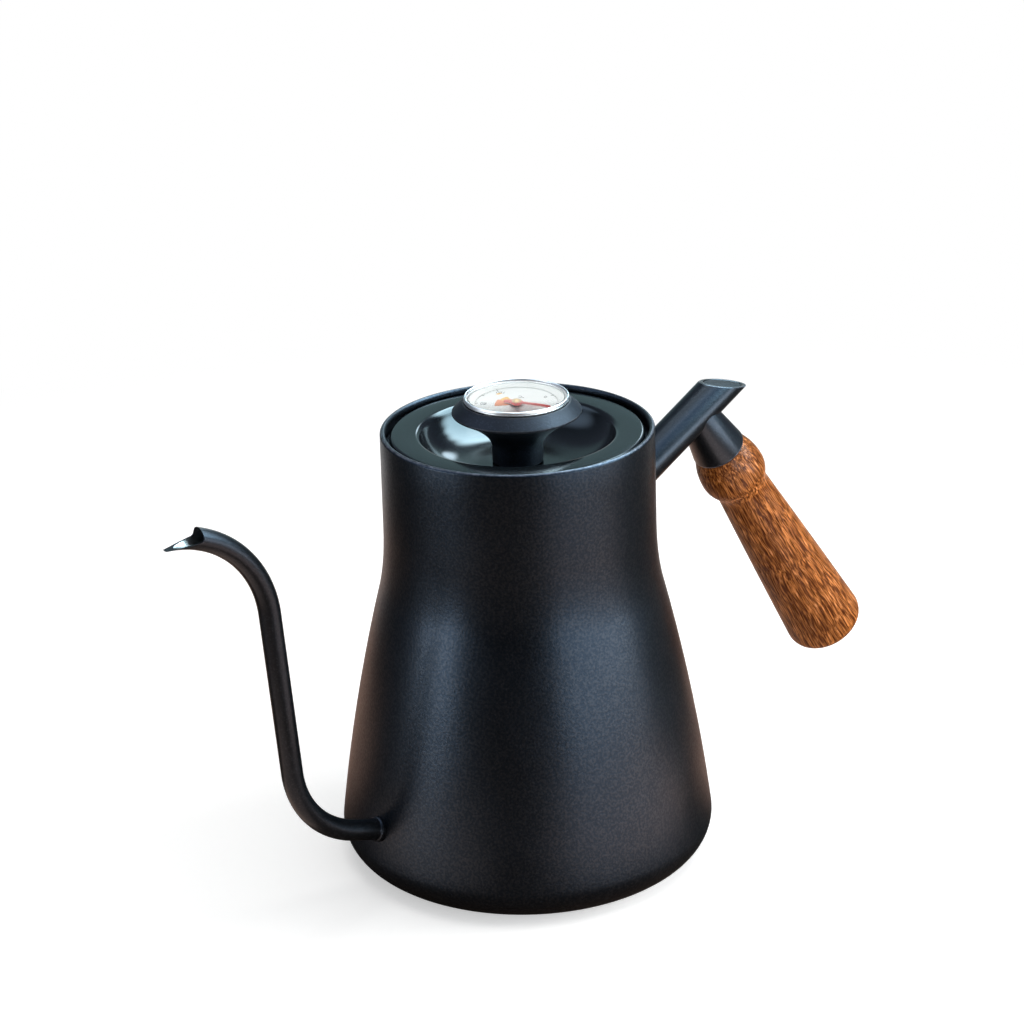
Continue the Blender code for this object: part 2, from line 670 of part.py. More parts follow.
def knob_bolt():
    """Hollow bolt from the knob's cup through the lid to the nut."""
    low = NUT_TOP - NUT_HEIGHT - BOLT_END
    head_low = HEAD_SEAT + FIT
    head = BOLT_HEAD_DIAMETER / 2
    profile = [(BOLT_BORE / 2, low), (BOLT_RADIUS, low), (BOLT_RADIUS, head_low), (head, head_low)]
    profile += [(head, head_low + BOLT_HEAD), (BOLT_BORE / 2, head_low + BOLT_HEAD)]
    turned("knob_bolt", profile, finish("bolt_steel", STEEL, 0.35, 1), steps=24)


def knob_washer():
    profile = section(BOLT_RADIUS + FIT, WASHER_DIAMETER / 2, WASHER_TOP - WASHER_HEIGHT, WASHER_TOP)
    turned("knob_washer", profile, finish("washer_silicone", (0.25, 0.25, 0.25), 0.7, 0), steps=24)


def knob_nut():
    corner = NUT_WIDTH / 2 / math.cos(math.radians(30))
    outline = [(corner * math.cos(i * math.pi / 3), corner * math.sin(i * math.pi / 3)) for i in range(6)]
    nut = extruded("knob_nut", outline, NUT_TOP - NUT_HEIGHT, NUT_TOP, finish("nut_steel", STEEL, 0.35, 1))
    tap = section(0, BOLT_RADIUS + FIT, NUT_TOP - 2 * NUT_HEIGHT, NUT_TOP + NUT_HEIGHT)
    cut(nut, turned("nut_thread_cutter", tap, steps=24))


def thermometer_case():
    """Pressed cup with a turned-out lip that sits on the knob."""
    lip = CASE_RADIUS + CASE_LIP
    hole = STEM_RADIUS + FIT
    profile = [(hole, CASE_LOW), (CASE_RADIUS, CASE_LOW), (CASE_RADIUS, CASE_LIP_LOW), (lip, CASE_LIP_LOW)]
    profile += [(lip, CASE_TOP), (CASE_INSIDE, CASE_TOP), (CASE_INSIDE, CASE_FLOOR), (hole, CASE_FLOOR)]
    turned("thermometer_case", profile, finish("case_steel", STEEL, 0.25, 1), steps=DIAL_STEPS)


def dial_plate():
    profile = section(ARBOR_RADIUS + FIT, DIAL_RADIUS, DIAL_LOW, DIAL_TOP)
    turned("dial_plate", profile, finish("dial_white", WHITE, 0.5, 0), steps=DIAL_STEPS)


def dial_spacer():
    """Ring that holds the lens above the dial."""
    profile = section(DIAL_RADIUS - SPACER_WALL, DIAL_RADIUS, DIAL_TOP + FIT, LENS_LOW - FIT)
    turned("dial_spacer", profile, finish("spacer_white", WHITE, 0.4, 0), steps=DIAL_STEPS)


def dial_lens():
    profile = [(0, LENS_LOW), (DIAL_RADIUS, LENS_LOW), (DIAL_RADIUS, LENS_TOP), (0, LENS_TOP)]
    turned("dial_lens", profile, finish("lens_glass", GLASS, 0.05, 0), steps=DIAL_STEPS)


def bezel_ring():
    """Bright ring over the lens and the case's lip."""
    low = CASE_TOP + FIT
    inner = DIAL_RADIUS - BEZEL_COVER
    outer = CASE_RADIUS + CASE_LIP
    edge = BEZEL_HEIGHT / 3
    profile = [(inner, low), (outer, low), (outer, low + BEZEL_HEIGHT - edge)]
    profile += [(outer - edge, low + BEZEL_HEIGHT), (inner + edge, low + BEZEL_HEIGHT)]
    profile += [(inner, low + BEZEL_HEIGHT - edge)]
    turned("bezel_ring", profile, finish("bezel_steel", STEEL, 0.2, 1), steps=DIAL_STEPS)


def probe_stem():
    """Closed tube with a small head on the case floor and a rounded tip in the water."""
    bore = STEM_RADIUS - STEM_WALL
    head = STEM_HEAD_DIAMETER / 2
    head_low = CASE_FLOOR + FIT
    tip_centre = (0, STEM_TIP + STEM_RADIUS)
    tip = arc(tip_centre, STEM_RADIUS, 0, -90, 4)[:-1]
    tip_inside = arc(tip_centre, bore, -90, 0, 3)[1:]
    profile = [(bore, head_low + STEM_HEAD), (head, head_low + STEM_HEAD)]
    profile += [(head, head_low), (STEM_RADIUS, head_low)]
    profile += tip + [(0, STEM_TIP), (0, STEM_TIP + STEM_WALL)] + tip_inside
    turned("probe_stem", profile, finish("stem_steel", STEEL, 0.25, 1), steps=ROD_STEPS)


def arbor_bush():
    high = CASE_FLOOR
    outer = STEM_RADIUS - STEM_WALL - FIT
    profile = section(ARBOR_RADIUS + FIT, outer, high - BUSH_LENGTH, high)
    turned("arbor_bush", profile, finish("bush_brass", BRASS, 0.4, 1), steps=ROD_STEPS)


def bimetal_coil():
    """Flat strip wound as a helix round the lower end of the arbor, one unbroken length."""
    outer = STEM_RADIUS - STEM_WALL - FIT
    start = STEM_TIP + COIL_FLOOR
    rings = []
    for i in range(COIL_TURNS * COIL_POINTS + 1):
        angle = 2 * math.pi * i / COIL_POINTS
        low = start + COIL_PITCH * i / COIL_POINTS
        ring = []
        for radius, rise in ((outer, 0), (outer, 1), (outer - COIL_STRIP, 1), (outer - COIL_STRIP, 0)):
            height = low + rise * COIL_STRIP_WIDTH
            ring.append((radius * math.cos(angle), radius * math.sin(angle), height))
        rings.append(ring)
    coil = skinned("bimetal_coil", rings, finish("coil_bimetal", BRASS, 0.4, 1))
    gap = min(low[0][2] - high[1][2] for low, high in zip(rings[COIL_POINTS:], rings))
    print(f"bimetal_coil: least gap between turns {gap * 1000:.2f} mm")
    return coil


def pointer():
    """Thin needle with a disc round the arbor and a broad tail, turned to its rest reading."""
    tip = POINTER_WIDTH / 2
    tail = POINTER_TAIL_WIDTH / 2
    reach = math.sqrt(POINTER_EYE ** 2 - tail ** 2)
    shoulder = math.degrees(math.atan2(tip, math.sqrt(POINTER_EYE ** 2 - tip ** 2)))
    back = math.degrees(math.atan2(tail, -reach))
    eye = arc((0, 0), POINTER_EYE, shoulder, back, 6)
    half = [(POINTER_TIP, tip / 4), *eye, (-POINTER_TAIL, tail)]
    outline = half + [(x, -y) for x, y in reversed(half)]
    needle = extruded("pointer", outline, POINTER_LOW, ARBOR_TOP, finish("pointer_red", RED, 0.4, 0))
    needle.rotation_euler.z = math.radians(POINTER_REST)
    eye_cut = section(0, ARBOR_RADIUS + FIT, POINTER_LOW - FIT, ARBOR_TOP + FIT)
    cut(needle, turned("pointer_eye_cutter", eye_cut, steps=ROD_STEPS))


def pointer_hub():
    """Button on the arbor's end."""
    radius = HUB_DIAMETER / 2
    profile = [(0, HUB_LOW), (radius, HUB_LOW), (radius * 0.7, HUB_LOW + HUB_HEIGHT)]
    profile.append((0, HUB_LOW + HUB_HEIGHT))
    turned("pointer_hub", profile, finish("hub_brass", BRASS, 0.3, 1), steps=ROD_STEPS)


def pointer_arbor():
    low = ARBOR_TOP - ARBOR_LENGTH
    profile = [(0, low), (ARBOR_RADIUS, low), (ARBOR_RADIUS, ARBOR_TOP), (0, ARBOR_TOP)]
    turned("pointer_arbor", profile, finish("arbor_steel", STEEL, 0.3, 1), steps=8)


def main():
    for existing in list(bpy.data.objects):
        bpy.data.objects.remove(existing, do_unlink=True)
    body = (body_shell, base_plate, lid_seat_ring, spout_tube)
    handle = (handle_arm, arm_end_cap, handle_socket, grip_stud, grip_insert, wood_grip)
    lid = (lid_plate, lid_skirt, lid_knob, knob_bolt, knob_washer, knob_nut)
    thermometer = (thermometer_case, dial_plate, dial_spacer, dial_lens, bezel_ring, probe_stem)
    movement = (arbor_bush, bimetal_coil, pointer, pointer_hub, pointer_arbor)
    for build in body + handle + lid + thermometer + movement:
        build()


main()
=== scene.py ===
# %% [markdown]
# # A gooseneck kettle
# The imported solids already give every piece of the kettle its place, its size and the joint that it
# moves on. This lesson dresses them: it builds fine, smooth versions of the pieces that show, gives
# each one a finish made of shader nodes, and sets up a studio. Nothing is moved by hand, because each
# new piece is built at the place of the solid that it stands for.

# %% Load the solids as a fixed frame
import math

import bmesh
import bpy
import numpy as np
from mathutils import Matrix, Vector


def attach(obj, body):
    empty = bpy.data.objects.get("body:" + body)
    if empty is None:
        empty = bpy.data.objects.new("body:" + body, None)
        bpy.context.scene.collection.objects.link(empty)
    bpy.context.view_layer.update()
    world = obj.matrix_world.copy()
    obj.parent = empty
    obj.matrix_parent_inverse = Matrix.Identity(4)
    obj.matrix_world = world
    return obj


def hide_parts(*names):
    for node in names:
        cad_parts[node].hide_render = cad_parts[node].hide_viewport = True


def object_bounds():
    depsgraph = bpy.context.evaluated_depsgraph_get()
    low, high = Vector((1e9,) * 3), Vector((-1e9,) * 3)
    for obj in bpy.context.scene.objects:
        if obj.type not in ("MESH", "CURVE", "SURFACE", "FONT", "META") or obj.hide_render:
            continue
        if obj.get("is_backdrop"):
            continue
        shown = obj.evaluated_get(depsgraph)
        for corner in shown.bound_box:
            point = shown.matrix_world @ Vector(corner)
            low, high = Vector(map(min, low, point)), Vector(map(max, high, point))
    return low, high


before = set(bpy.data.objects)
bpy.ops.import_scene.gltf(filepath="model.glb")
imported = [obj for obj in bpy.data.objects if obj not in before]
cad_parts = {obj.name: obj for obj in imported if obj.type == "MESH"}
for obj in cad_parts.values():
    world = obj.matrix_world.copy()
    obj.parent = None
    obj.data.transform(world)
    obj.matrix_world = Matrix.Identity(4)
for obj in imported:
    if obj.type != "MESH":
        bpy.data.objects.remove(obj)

for unused in ("Cube", "Light", "Camera"):
    if unused in bpy.data.objects:
        bpy.data.objects.remove(bpy.data.objects[unused], do_unlink=True)
cad_low, cad_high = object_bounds()

# %% [markdown]
# ## Camera
# A long lens from just above the rim shows the kettle as a shop picture does: the spout to the left,
# the handle to the right, and the lid seen as a flat ellipse. The numbers come from fitting a camera
# to the rim, the base and the grip. The camera is set first, because lights are placed round it.

# %% Camera
VIEW_TURN = math.radians(36.9)
RIGHT = Vector((math.cos(VIEW_TURN), -math.sin(VIEW_TURN), 0))
AWAY = Vector((math.sin(VIEW_TURN), math.cos(VIEW_TURN), 0))
UP = Vector((0, 0, 1))
CAMERA_PLACE, CAMERA_AIM = (-0.4683, -0.6238, 0.4307), (21.818, -0.184, -1.647)
FOCAL_LENGTH, SENSOR_WIDTH = 90.85, 36


def aim(pitch, yaw, roll):
    """Camera axes as a matrix, from angles in degrees in the frame of RIGHT, AWAY and UP."""
    pitch, yaw, roll = (math.radians(angle) for angle in (pitch, yaw, roll))
    ahead = RIGHT * math.sin(yaw) * math.cos(pitch) + AWAY * math.cos(yaw) * math.cos(pitch)
    ahead -= UP * math.sin(pitch)
    level = RIGHT * math.cos(yaw) - AWAY * math.sin(yaw)
    rise = level.cross(ahead)
    side = level * math.cos(roll) + rise * math.sin(roll)
    top = rise * math.cos(roll) - level * math.sin(roll)
    return Matrix((side, top, -ahead)).transposed()


def shown(name, data):
    """New object in the scene."""
    made = bpy.data.objects.new(name, data)
    bpy.context.scene.collection.objects.link(made)
    return made


camera = shown("photo_camera", bpy.data.cameras.new("photo_camera"))
camera.data.lens, camera.data.sensor_width = FOCAL_LENGTH, SENSOR_WIDTH
camera.matrix_world = Matrix.Translation(CAMERA_PLACE) @ aim(*CAMERA_AIM).to_4x4()
bpy.context.scene.camera = camera
print("camera at", tuple(round(value, 3) for value in camera.location))

# %% [markdown]
# ## Node helpers
# Shader trees and geometry trees are both built from nodes and links. One short helper adds a node,
# sets its options, and fills its inputs with plain values or with another node's output. The others
# are the few kinds of node that come back in every tree, so that a tree reads like a recipe.

# %% Node helpers
MM = 0.001


def add(tree, kind, inputs=None, **options):
    """Add a node; an input given as a socket is linked, any other value is set."""
    node = tree.nodes.new(kind)
    for key, value in options.items():
        setattr(node, key, value)
    for key, value in (inputs or {}).items():
        if isinstance(value, bpy.types.NodeSocket):
            tree.links.new(value, node.inputs[key])
        else:
            node.inputs[key].default_value = value
    return node


def out(tree, kind, inputs=None, **options):
    """First output of a new node."""
    return add(tree, kind, inputs, **options).outputs[0]


def sums(tree, operation, first, second=0.0, third=0.0):
    """One step of arithmetic."""
    return out(tree, "ShaderNodeMath", {0: first, 1: second, 2: third}, operation=operation)


def times(tree, first, second):
    return sums(tree, "MULTIPLY", first, second)


def measure(tree, operation, vector, axis=(0, 0, 0)):
    """Length of a vector, or its reach along an axis."""
    return add(tree, "ShaderNodeVectorMath", {0: vector, 1: axis}, operation=operation).outputs["Value"]


def ramp(tree, value, low, high, start=0.0, end=1.0):
    """Smooth step of a value from start to end."""
    inputs = {"Value": value, "From Min": low, "From Max": high, "To Min": start, "To Max": end}
    return out(tree, "ShaderNodeMapRange", inputs, interpolation_type="SMOOTHSTEP")


def blend(tree, mask, first, second):
    """Colour between first and second by a mask."""
    return add(tree, "ShaderNodeMix", {0: mask, 6: first, 7: second}, data_type="RGBA").outputs[2]


def noise(tree, vector, scale, detail):
    """Noise texture: its first output is a value and its second a colour."""
    return add(tree, "ShaderNodeTexNoise", {"Vector": vector, "Scale": scale, "Detail": detail}).outputs


def colour(red, green, blue):
    return (red, green, blue, 1)


def effect(name, values, outputs):
    """Empty shader group with a vector, named values and named outputs."""
    tree = bpy.data.node_groups.new(name, "ShaderNodeTree")
    tree.interface.new_socket("Vector", in_out="INPUT", socket_type="NodeSocketVector")
    for label, value in values.items():
        socket = tree.interface.new_socket(label, in_out="INPUT", socket_type="NodeSocketFloat")
        socket.default_value = value
    for label in outputs:
        tree.interface.new_socket(label, in_out="OUTPUT", socket_type="NodeSocketFloat")
    return tree, tree.nodes.new("NodeGroupInput").outputs, tree.nodes.new("NodeGroupOutput").inputs


print("node helpers ready")

# %% [markdown]
# ## Shared surface effects
# Four effects turn up on several finishes: the fine grain of a sprayed coat, the fine lines that a lathe or a
# brush leaves on steel, the soft smudges of handling, and the worn edge where a coat is thinner, which on the
# black coats also carries a painted highlight. Each one is a node group. The group gives out only masks and
# heights; each finish decides what colour, roughness or bump they turn into.

# %% Grain of a sprayed coat
grain_tree, grain_in, grain_out = effect("Coat grain", {"Scale": 2200.0, "Amount": 0.3}, ["Height", "Fleck"])
grain_place = {"Vector": grain_in["Vector"], "Scale": grain_in["Scale"]}
cells = add(grain_tree, "ShaderNodeTexVoronoi", grain_place).outputs
picked = out(grain_tree, "ShaderNodeSeparateColor", {0: cells["Color"]})
chosen = sums(grain_tree, "LESS_THAN", picked, grain_in["Amount"])
round_spot = ramp(grain_tree, cells["Distance"], 0.15, 0.55, 1.0, 0.0)
orange_peel = noise(grain_tree, grain_in["Vector"], grain_in["Scale"], 3.0)[0]
grain_tree.links.new(orange_peel, grain_out["Height"])
grain_tree.links.new(times(grain_tree, chosen, round_spot), grain_out["Fleck"])
print("effect:", grain_tree.name)

# %% Lines of turned and brushed steel
LINE_STRETCH, TONE_SCALE = 0.002, 0.12
line_tree, line_in, line_out = effect("Turned lines", {"Scale": 5000.0}, ["Height", "Tone"])
split = add(line_tree, "ShaderNodeSeparateXYZ", {0: line_in["Vector"]}).outputs
distance = measure(line_tree, "LENGTH", out(line_tree, "ShaderNodeCombineXYZ", {0: split[0], 1: split[1]}))
around = times(line_tree, sums(line_tree, "ARCTAN2", split[1], split[0]), LINE_STRETCH)
track = out(line_tree, "ShaderNodeCombineXYZ", {0: distance, 1: around, 2: split[2]})
broad_scale = times(line_tree, line_in["Scale"], TONE_SCALE)
line_tree.links.new(noise(line_tree, track, line_in["Scale"], 2.0)[0], line_out["Height"])
line_tree.links.new(noise(line_tree, track, broad_scale, 2.0)[0], line_out["Tone"])
print("effect:", line_tree.name)

# %% Smudges of handling
smudge_tree, smudge_in, smudge_out = effect("Handling marks", {"Scale": 45.0}, ["Smudge"])
cloud = noise(smudge_tree, smudge_in["Vector"], smudge_in["Scale"], 4.0)[0]
smudge_tree.links.new(ramp(smudge_tree, cloud, 0.35, 0.75), smudge_out["Smudge"])
print("effect:", smudge_tree.name)

# %% Worn edge
# On the black coats this mask also places a painted highlight: a pale line along the rim's bead and the arm's
# cut end.
WEAR_SCALE = 420.0
edge_tree, edge_in, edge_out = effect("Worn edge", {"Amount": 0.5}, ["Wear"])
marked = add(edge_tree, "ShaderNodeAttribute", attribute_name="worn").outputs["Fac"]
patchy = noise(edge_tree, edge_in["Vector"], WEAR_SCALE, 3.0)[0]
thin_coat = ramp(edge_tree, times(edge_tree, marked, patchy), 0.22, 0.62)
edge_tree.links.new(times(edge_tree, thin_coat, edge_in["Amount"]), edge_out["Wear"])
print("effect:", edge_tree.name)

# %% [markdown]
# ## Finishes
# A finish starts as an empty material. The Principled shader holds what is the same all over the
# surface, such as how strong the reflection is, and the groups drive only what varies: base colour,
# roughness, the weight of a clear coat and the bump. All patterns read Object coordinates, in metres,
# so a scale of 2000 means grains about half a millimetre wide.

# %% Start of a finish


def new_finish(name, **constants):
    """Material with a Principled shader; constants are set on the shader's own sockets."""
    material = bpy.data.materials.new(name)
    material.use_nodes = True
    tree = material.node_tree
    shader = tree.nodes["Principled BSDF"]
    for key, value in constants.items():
        shader.inputs[key.replace("_", " ")].default_value = value
    return material, tree, shader, add(tree, "ShaderNodeTexCoord").outputs["Object"]


def use(tree, group, place, **values):
    """Place a shared effect in a material."""
    return add(tree, "ShaderNodeGroup", {"Vector": place, **values}, node_tree=group).outputs


def drive(tree, shader, **values):
    """Link what varies to the shader's sockets."""
    for key, value in values.items():
        tree.links.new(value, shader.inputs[key.replace("_", " ")])


def bump(tree, height, strength, depth):
    """Normal from a height, with its depth in millimetres."""
    return out(tree, "ShaderNodeBump", {"Strength": strength, "Distance": depth * MM, "Height": height})


def rough(tree, smudge, roughness, spread):
    """Roughness that the smudges move up and down."""
    return ramp(tree, smudge, 0.0, 1.0, roughness - spread, roughness + spread)


print("finishes can be started")

# %% [markdown]
# ## Black coats
# The body wears a matt black sprayed coat that glitters very finely, the tubes a smoother satin one, the
# arm's end plate a dull one and the lid a glossy one. One function makes all five, because they are the same
# paint at a different smoothness. The colour stays nearly black, the sheen comes from what the coat mirrors,
# with a cool tint, and the grain also lets a thin clear coat sparkle. On marked edges the colour turns a pale
# bluish grey. This is partly a thinner, worn coat and partly a painted highlight, such as the bright line
# along the rim and round the arm's cut end.

# %% Black coats
# Pale bluish grey of marked edges on the black coats: partly worn coat, partly a painted highlight.
EDGE_WEAR_AND_HIGHLIGHT, WEAR_SMOOTHS = colour(0.16, 0.18, 0.23), 0.25
SPARKLE_FROM, SPARKLE_TO = 0.40, 0.64


def black_coat(name, base, fleck, roughness, spread, scale, amount, depth, level, sheen, sparkle):
    """Sprayed black coat: base and fleck colours, roughness with its spread, the grain and the sheen."""
    material, tree, shader, place = new_finish(
        name, Specular_IOR_Level=level, Specular_Tint=colour(*sheen), Coat_Roughness=roughness
    )
    grain = use(tree, grain_tree, place, Scale=scale, Amount=amount)
    wear = use(tree, edge_tree, place, Amount=0.8)["Wear"]
    smudge = use(tree, smudge_tree, place)["Smudge"]
    speckled = blend(tree, grain["Fleck"], colour(*base), colour(*fleck))
    sprayed = rough(tree, smudge, roughness, spread)
    drive(
        tree,
        shader,
        # marked edges turn pale: partly wear, partly a painted highlight
        Base_Color=blend(tree, wear, speckled, EDGE_WEAR_AND_HIGHLIGHT),
        Roughness=sums(tree, "SUBTRACT", sprayed, times(tree, wear, WEAR_SMOOTHS)),
        Coat_Weight=ramp(tree, grain["Height"], SPARKLE_FROM, SPARKLE_TO, 0.0, sparkle),
        Normal=bump(tree, grain["Height"], 0.5, depth),
    )
    return material


COOL_SHEEN = (0.56, 0.75, 1.0)
SATIN = {
    "base": (0.002, 0.0022, 0.0025), "fleck": (0.009, 0.009, 0.010), "spread": 0.03,
    "scale": 1400.0, "amount": 0.5, "depth": 0.06,
}
wall_coat = black_coat(
    "wall_coat", base=(0.0005, 0.0005, 0.0005), fleck=(0.0045, 0.0040, 0.0040), roughness=0.36, spread=0.02,
    scale=1200.0, amount=0.5, depth=0.11, level=0.37, sheen=(0.45, 0.67, 1.0), sparkle=0.24,
)
tube_coat = black_coat("tube_coat", roughness=0.32, level=0.47, sheen=COOL_SHEEN, sparkle=0.10, **SATIN)
spout_coat = black_coat(
    "spout_coat", roughness=0.34, level=0.30, sheen=(0.62, 0.76, 1.0), sparkle=0.08, **SATIN
)
plate_coat = black_coat("plate_coat", roughness=0.52, level=0.20, sheen=COOL_SHEEN, sparkle=0.0, **SATIN)
lid_coat = black_coat(
    "lid_coat", base=(0.006, 0.009, 0.012), fleck=(0.010, 0.013, 0.016), roughness=0.15, spread=0.03,
    scale=3600.0, amount=0.2, depth=0.004, level=0.42, sheen=(0.75, 0.92, 1.0), sparkle=0.03,
)
print("coats:", wall_coat.name, tube_coat.name, spout_coat.name, plate_coat.name, lid_coat.name)

# %% [markdown]
# ## Steel and brass
# Inside the body, under the base and round the thermometer the steel is bare. The turned lines follow
# the kettle's axis, so one group serves the disc, the ring and the tube alike. The body's steel is
# brushed, the thermometer's case and bezel are satin, its stem is polished, and the spout's bore is
# darker, since little light gets into it.

# %% Steel and brass


def metal(name, tint, deep, roughness, spread, scale, depth):
    """Bare metal with turned lines: two tones, roughness with its spread and the lines' scale."""
    material, tree, shader, place = new_finish(name, Metallic=1.0)
    lines = use(tree, line_tree, place, Scale=scale)
    smudge = use(tree, smudge_tree, place, Scale=60.0)["Smudge"]
    drive(
        tree,
        shader,
        Base_Color=blend(tree, lines["Tone"], colour(*deep), colour(*tint)),
        Roughness=sums(tree, "MULTIPLY_ADD", smudge, spread, roughness),
        Normal=bump(tree, lines["Height"], 0.4, depth),
    )
    return material


brushed_steel = metal("brushed_steel", (0.66, 0.66, 0.65), (0.52, 0.52, 0.52), 0.34, 0.03, 4200.0, 0.004)
polished_steel = metal("polished_steel", (0.86, 0.87, 0.88), (0.74, 0.75, 0.77), 0.10, 0.06, 6000.0, 0.002)
satin_steel = metal("satin_steel", (0.90, 0.92, 0.93), (0.80, 0.82, 0.84), 0.34, 0.06, 6000.0, 0.002)
# The bore's steel is painted darker as shade, since little light gets into it.
bore_steel = metal("bore_steel", (0.40, 0.43, 0.44), (0.30, 0.32, 0.33), 0.34, 0.08, 5200.0, 0.004)
turned_brass = metal("turned_brass", (0.80, 0.58, 0.28), (0.62, 0.43, 0.18), 0.28, 0.10, 5200.0, 0.004)
metals = (brushed_steel, polished_steel, satin_steel, bore_steel, turned_brass)
print("metals:", *(finish.name for finish in metals))

# %% [markdown]
# ## Wood
# The grip is a coarse brown hardwood, turned and lacquered. Its look comes from many short dark pores that
# lie along the grain, between pale streaks, in bands that follow the growth rings. The palest streaks are
# partly grain and partly a painted sheen of the lacquer. A Mapping node turns the coordinates so that their Z
# runs down the grip. Squeezed along that Z, the cells of a Voronoi texture become dashes for the pores, and a
# noise becomes the streaks.

# %% Wood
GRIP_FALL, ARM_RISE = 56.9, 31.0
WOOD_DARK, WOOD_BROWN = colour(0.050, 0.0105, 0.0006), colour(0.36, 0.124, 0.028)
# The pale streak tone is partly grain and partly a painted sheen of the lacquer.
PALE_GRAIN_AND_SHEEN, WOOD_PORE = colour(0.62, 0.28, 0.125), colour(0.016, 0.003, 0.0005)
WANDER, PALE_SHEEN_SHARE, RING_SHARE, PORE_SHARE = 0.0025, 0.75, 0.30, 0.62


def heading(angle):
    """Unit vector in the XZ plane at an angle above +X, in degrees."""
    return Vector((math.cos(math.radians(angle)), 0, math.sin(math.radians(angle))))


def squeezed(tree, vector, share, location=(0, 0, 0)):
    """Coordinates squeezed along the grain, so that what is drawn in them gets long."""
    inputs = {"Vector": vector, "Location": location, "Scale": (1, 1, share)}
    return out(tree, "ShaderNodeMapping", inputs)


wood, tree, shader, place = new_finish("lacquered_wood", Coat_Roughness=0.28, Specular_IOR_Level=0.03)
down_grip = (0, math.radians(-(90 + GRIP_FALL)), 0)
along_grip = out(tree, "ShaderNodeMapping", {"Vector": place, "Rotation": down_grip})
wander = noise(tree, along_grip, 55.0, 2.0)[1]
centred = out(tree, "ShaderNodeVectorMath", {0: wander, 1: (0.5, 0.5, 0.5)}, operation="SUBTRACT")
wandering = {0: centred, 1: (WANDER, WANDER, WANDER), 2: along_grip}
bent = out(tree, "ShaderNodeVectorMath", wandering, operation="MULTIPLY_ADD")
streaks = noise(tree, squeezed(tree, bent, 0.065), 1900.0, 3.0)[0]
dash_inputs = {"Vector": squeezed(tree, bent, 0.075), "Scale": 1250.0, "Detail": 1.0}
dashes = add(tree, "ShaderNodeTexVoronoi", dash_inputs).outputs["Distance"]
ring_inputs = {
    "Vector": squeezed(tree, bent, 0.05, (0.018, 0.03, 0)),
    "Scale": 75.0, "Distortion": 3.0, "Detail": 2.0, "Detail Scale": 1.2,
}
growth = add(tree, "ShaderNodeTexWave", ring_inputs, wave_type="RINGS", rings_direction="Z").outputs["Fac"]
brown = blend(tree, ramp(tree, streaks, 0.36, 0.66), WOOD_DARK, WOOD_BROWN)
# Pale streaks: grain and a painted sheen.
streaks_with_sheen = blend(tree, times(tree, ramp(tree, streaks, 0.58, 0.74), PALE_SHEEN_SHARE), brown, PALE_GRAIN_AND_SHEEN)
banded = blend(tree, times(tree, ramp(tree, growth, 0.15, 0.9), RING_SHARE), streaks_with_sheen, WOOD_DARK)
dash_reach = sums(tree, "MULTIPLY_ADD", streaks, 0.9, 0.16)
pore = ramp(tree, sums(tree, "SUBTRACT", dash_reach, dashes), -0.06, 0.10)
drive(
    tree,
    shader,
    Base_Color=blend(tree, times(tree, pore, PORE_SHARE), banded, WOOD_PORE),
    Roughness=ramp(tree, pore, 0.0, 1.0, 0.42, 0.62),
    Coat_Weight=ramp(tree, pore, 0.0, 1.0, 0.34, 0.10),
    Normal=bump(tree, sums(tree, "SUBTRACT", 1.0, pore), 0.5, 0.05),
)
print("finish:", wood.name)

# %% [markdown]
# ## Small finishes
# The knob is a moulded plastic with a sandy grain. The washer is soft silicone, the dial a matt white
# enamel with printed ink, and the needle is painted red. The lens is clear glass, left to the
# Principled shader's transmission, with only its roughness touched by smudges.

# %% Small finishes


def plain_grain(name, base, fleck, roughness, scale, depth, amount=0.3, spread=0.05, **constants):
    """Moulded, enamelled or painted surface with a fine grain."""
    material, tree, shader, place = new_finish(name, **constants)
    grain = use(tree, grain_tree, place, Scale=scale, Amount=amount)
    smudge = use(tree, smudge_tree, place, Scale=90.0)["Smudge"]
    wear = use(tree, edge_tree, place, Amount=0.35)["Wear"]
    speckled = blend(tree, grain["Fleck"], colour(*base), colour(*fleck))
    rubbed = colour(*(0.75 * value + 0.10 for value in base))
    drive(
        tree,
        shader,
        Base_Color=blend(tree, wear, speckled, rubbed),
        Roughness=rough(tree, smudge, roughness, spread),
        Normal=bump(tree, grain["Height"], 0.6, depth),
    )
    return material


knob_grain = plain_grain(
    "knob_grain", (0.002, 0.003, 0.005), (0.010, 0.013, 0.020), 0.50, 1500.0, 0.12, 0.6,
    Specular_IOR_Level=0.3, Specular_Tint=colour(0.7, 0.8, 1.0),
)
soft_silicone = plain_grain(
    "soft_silicone", (0.20, 0.20, 0.20), (0.26, 0.26, 0.26), 0.6, 2200.0, 0.015, spread=0.08
)
dial_enamel = plain_grain("dial_enamel", (0.89, 0.91, 0.91), (0.93, 0.95, 0.95), 0.42, 3200.0, 0.003)
dial_ink = plain_grain("dial_ink", (0.035, 0.035, 0.04), (0.06, 0.06, 0.065), 0.5, 5200.0, 0.002)
needle_paint = plain_grain("needle_paint", (0.74, 0.05, 0.035), (0.80, 0.07, 0.05), 0.35, 4200.0, 0.002)
zone_yellow = plain_grain("zone_yellow", (0.90, 0.50, 0.03), (0.94, 0.56, 0.05), 0.45, 5200.0, 0.002)
zone_red = plain_grain("zone_red", (0.80, 0.20, 0.03), (0.84, 0.24, 0.04), 0.45, 5200.0, 0.002)

lens_glass, tree, shader, place = new_finish(
    "lens_glass", Transmission_Weight=1.0, IOR=1.46, Base_Color=colour(0.99, 1.0, 1.0)
)
glass_smudge = use(tree, smudge_tree, place, Scale=140.0)["Smudge"]
drive(tree, shader, Roughness=ramp(tree, glass_smudge, 0.0, 1.0, 0.01, 0.05))
print("small finishes ready")

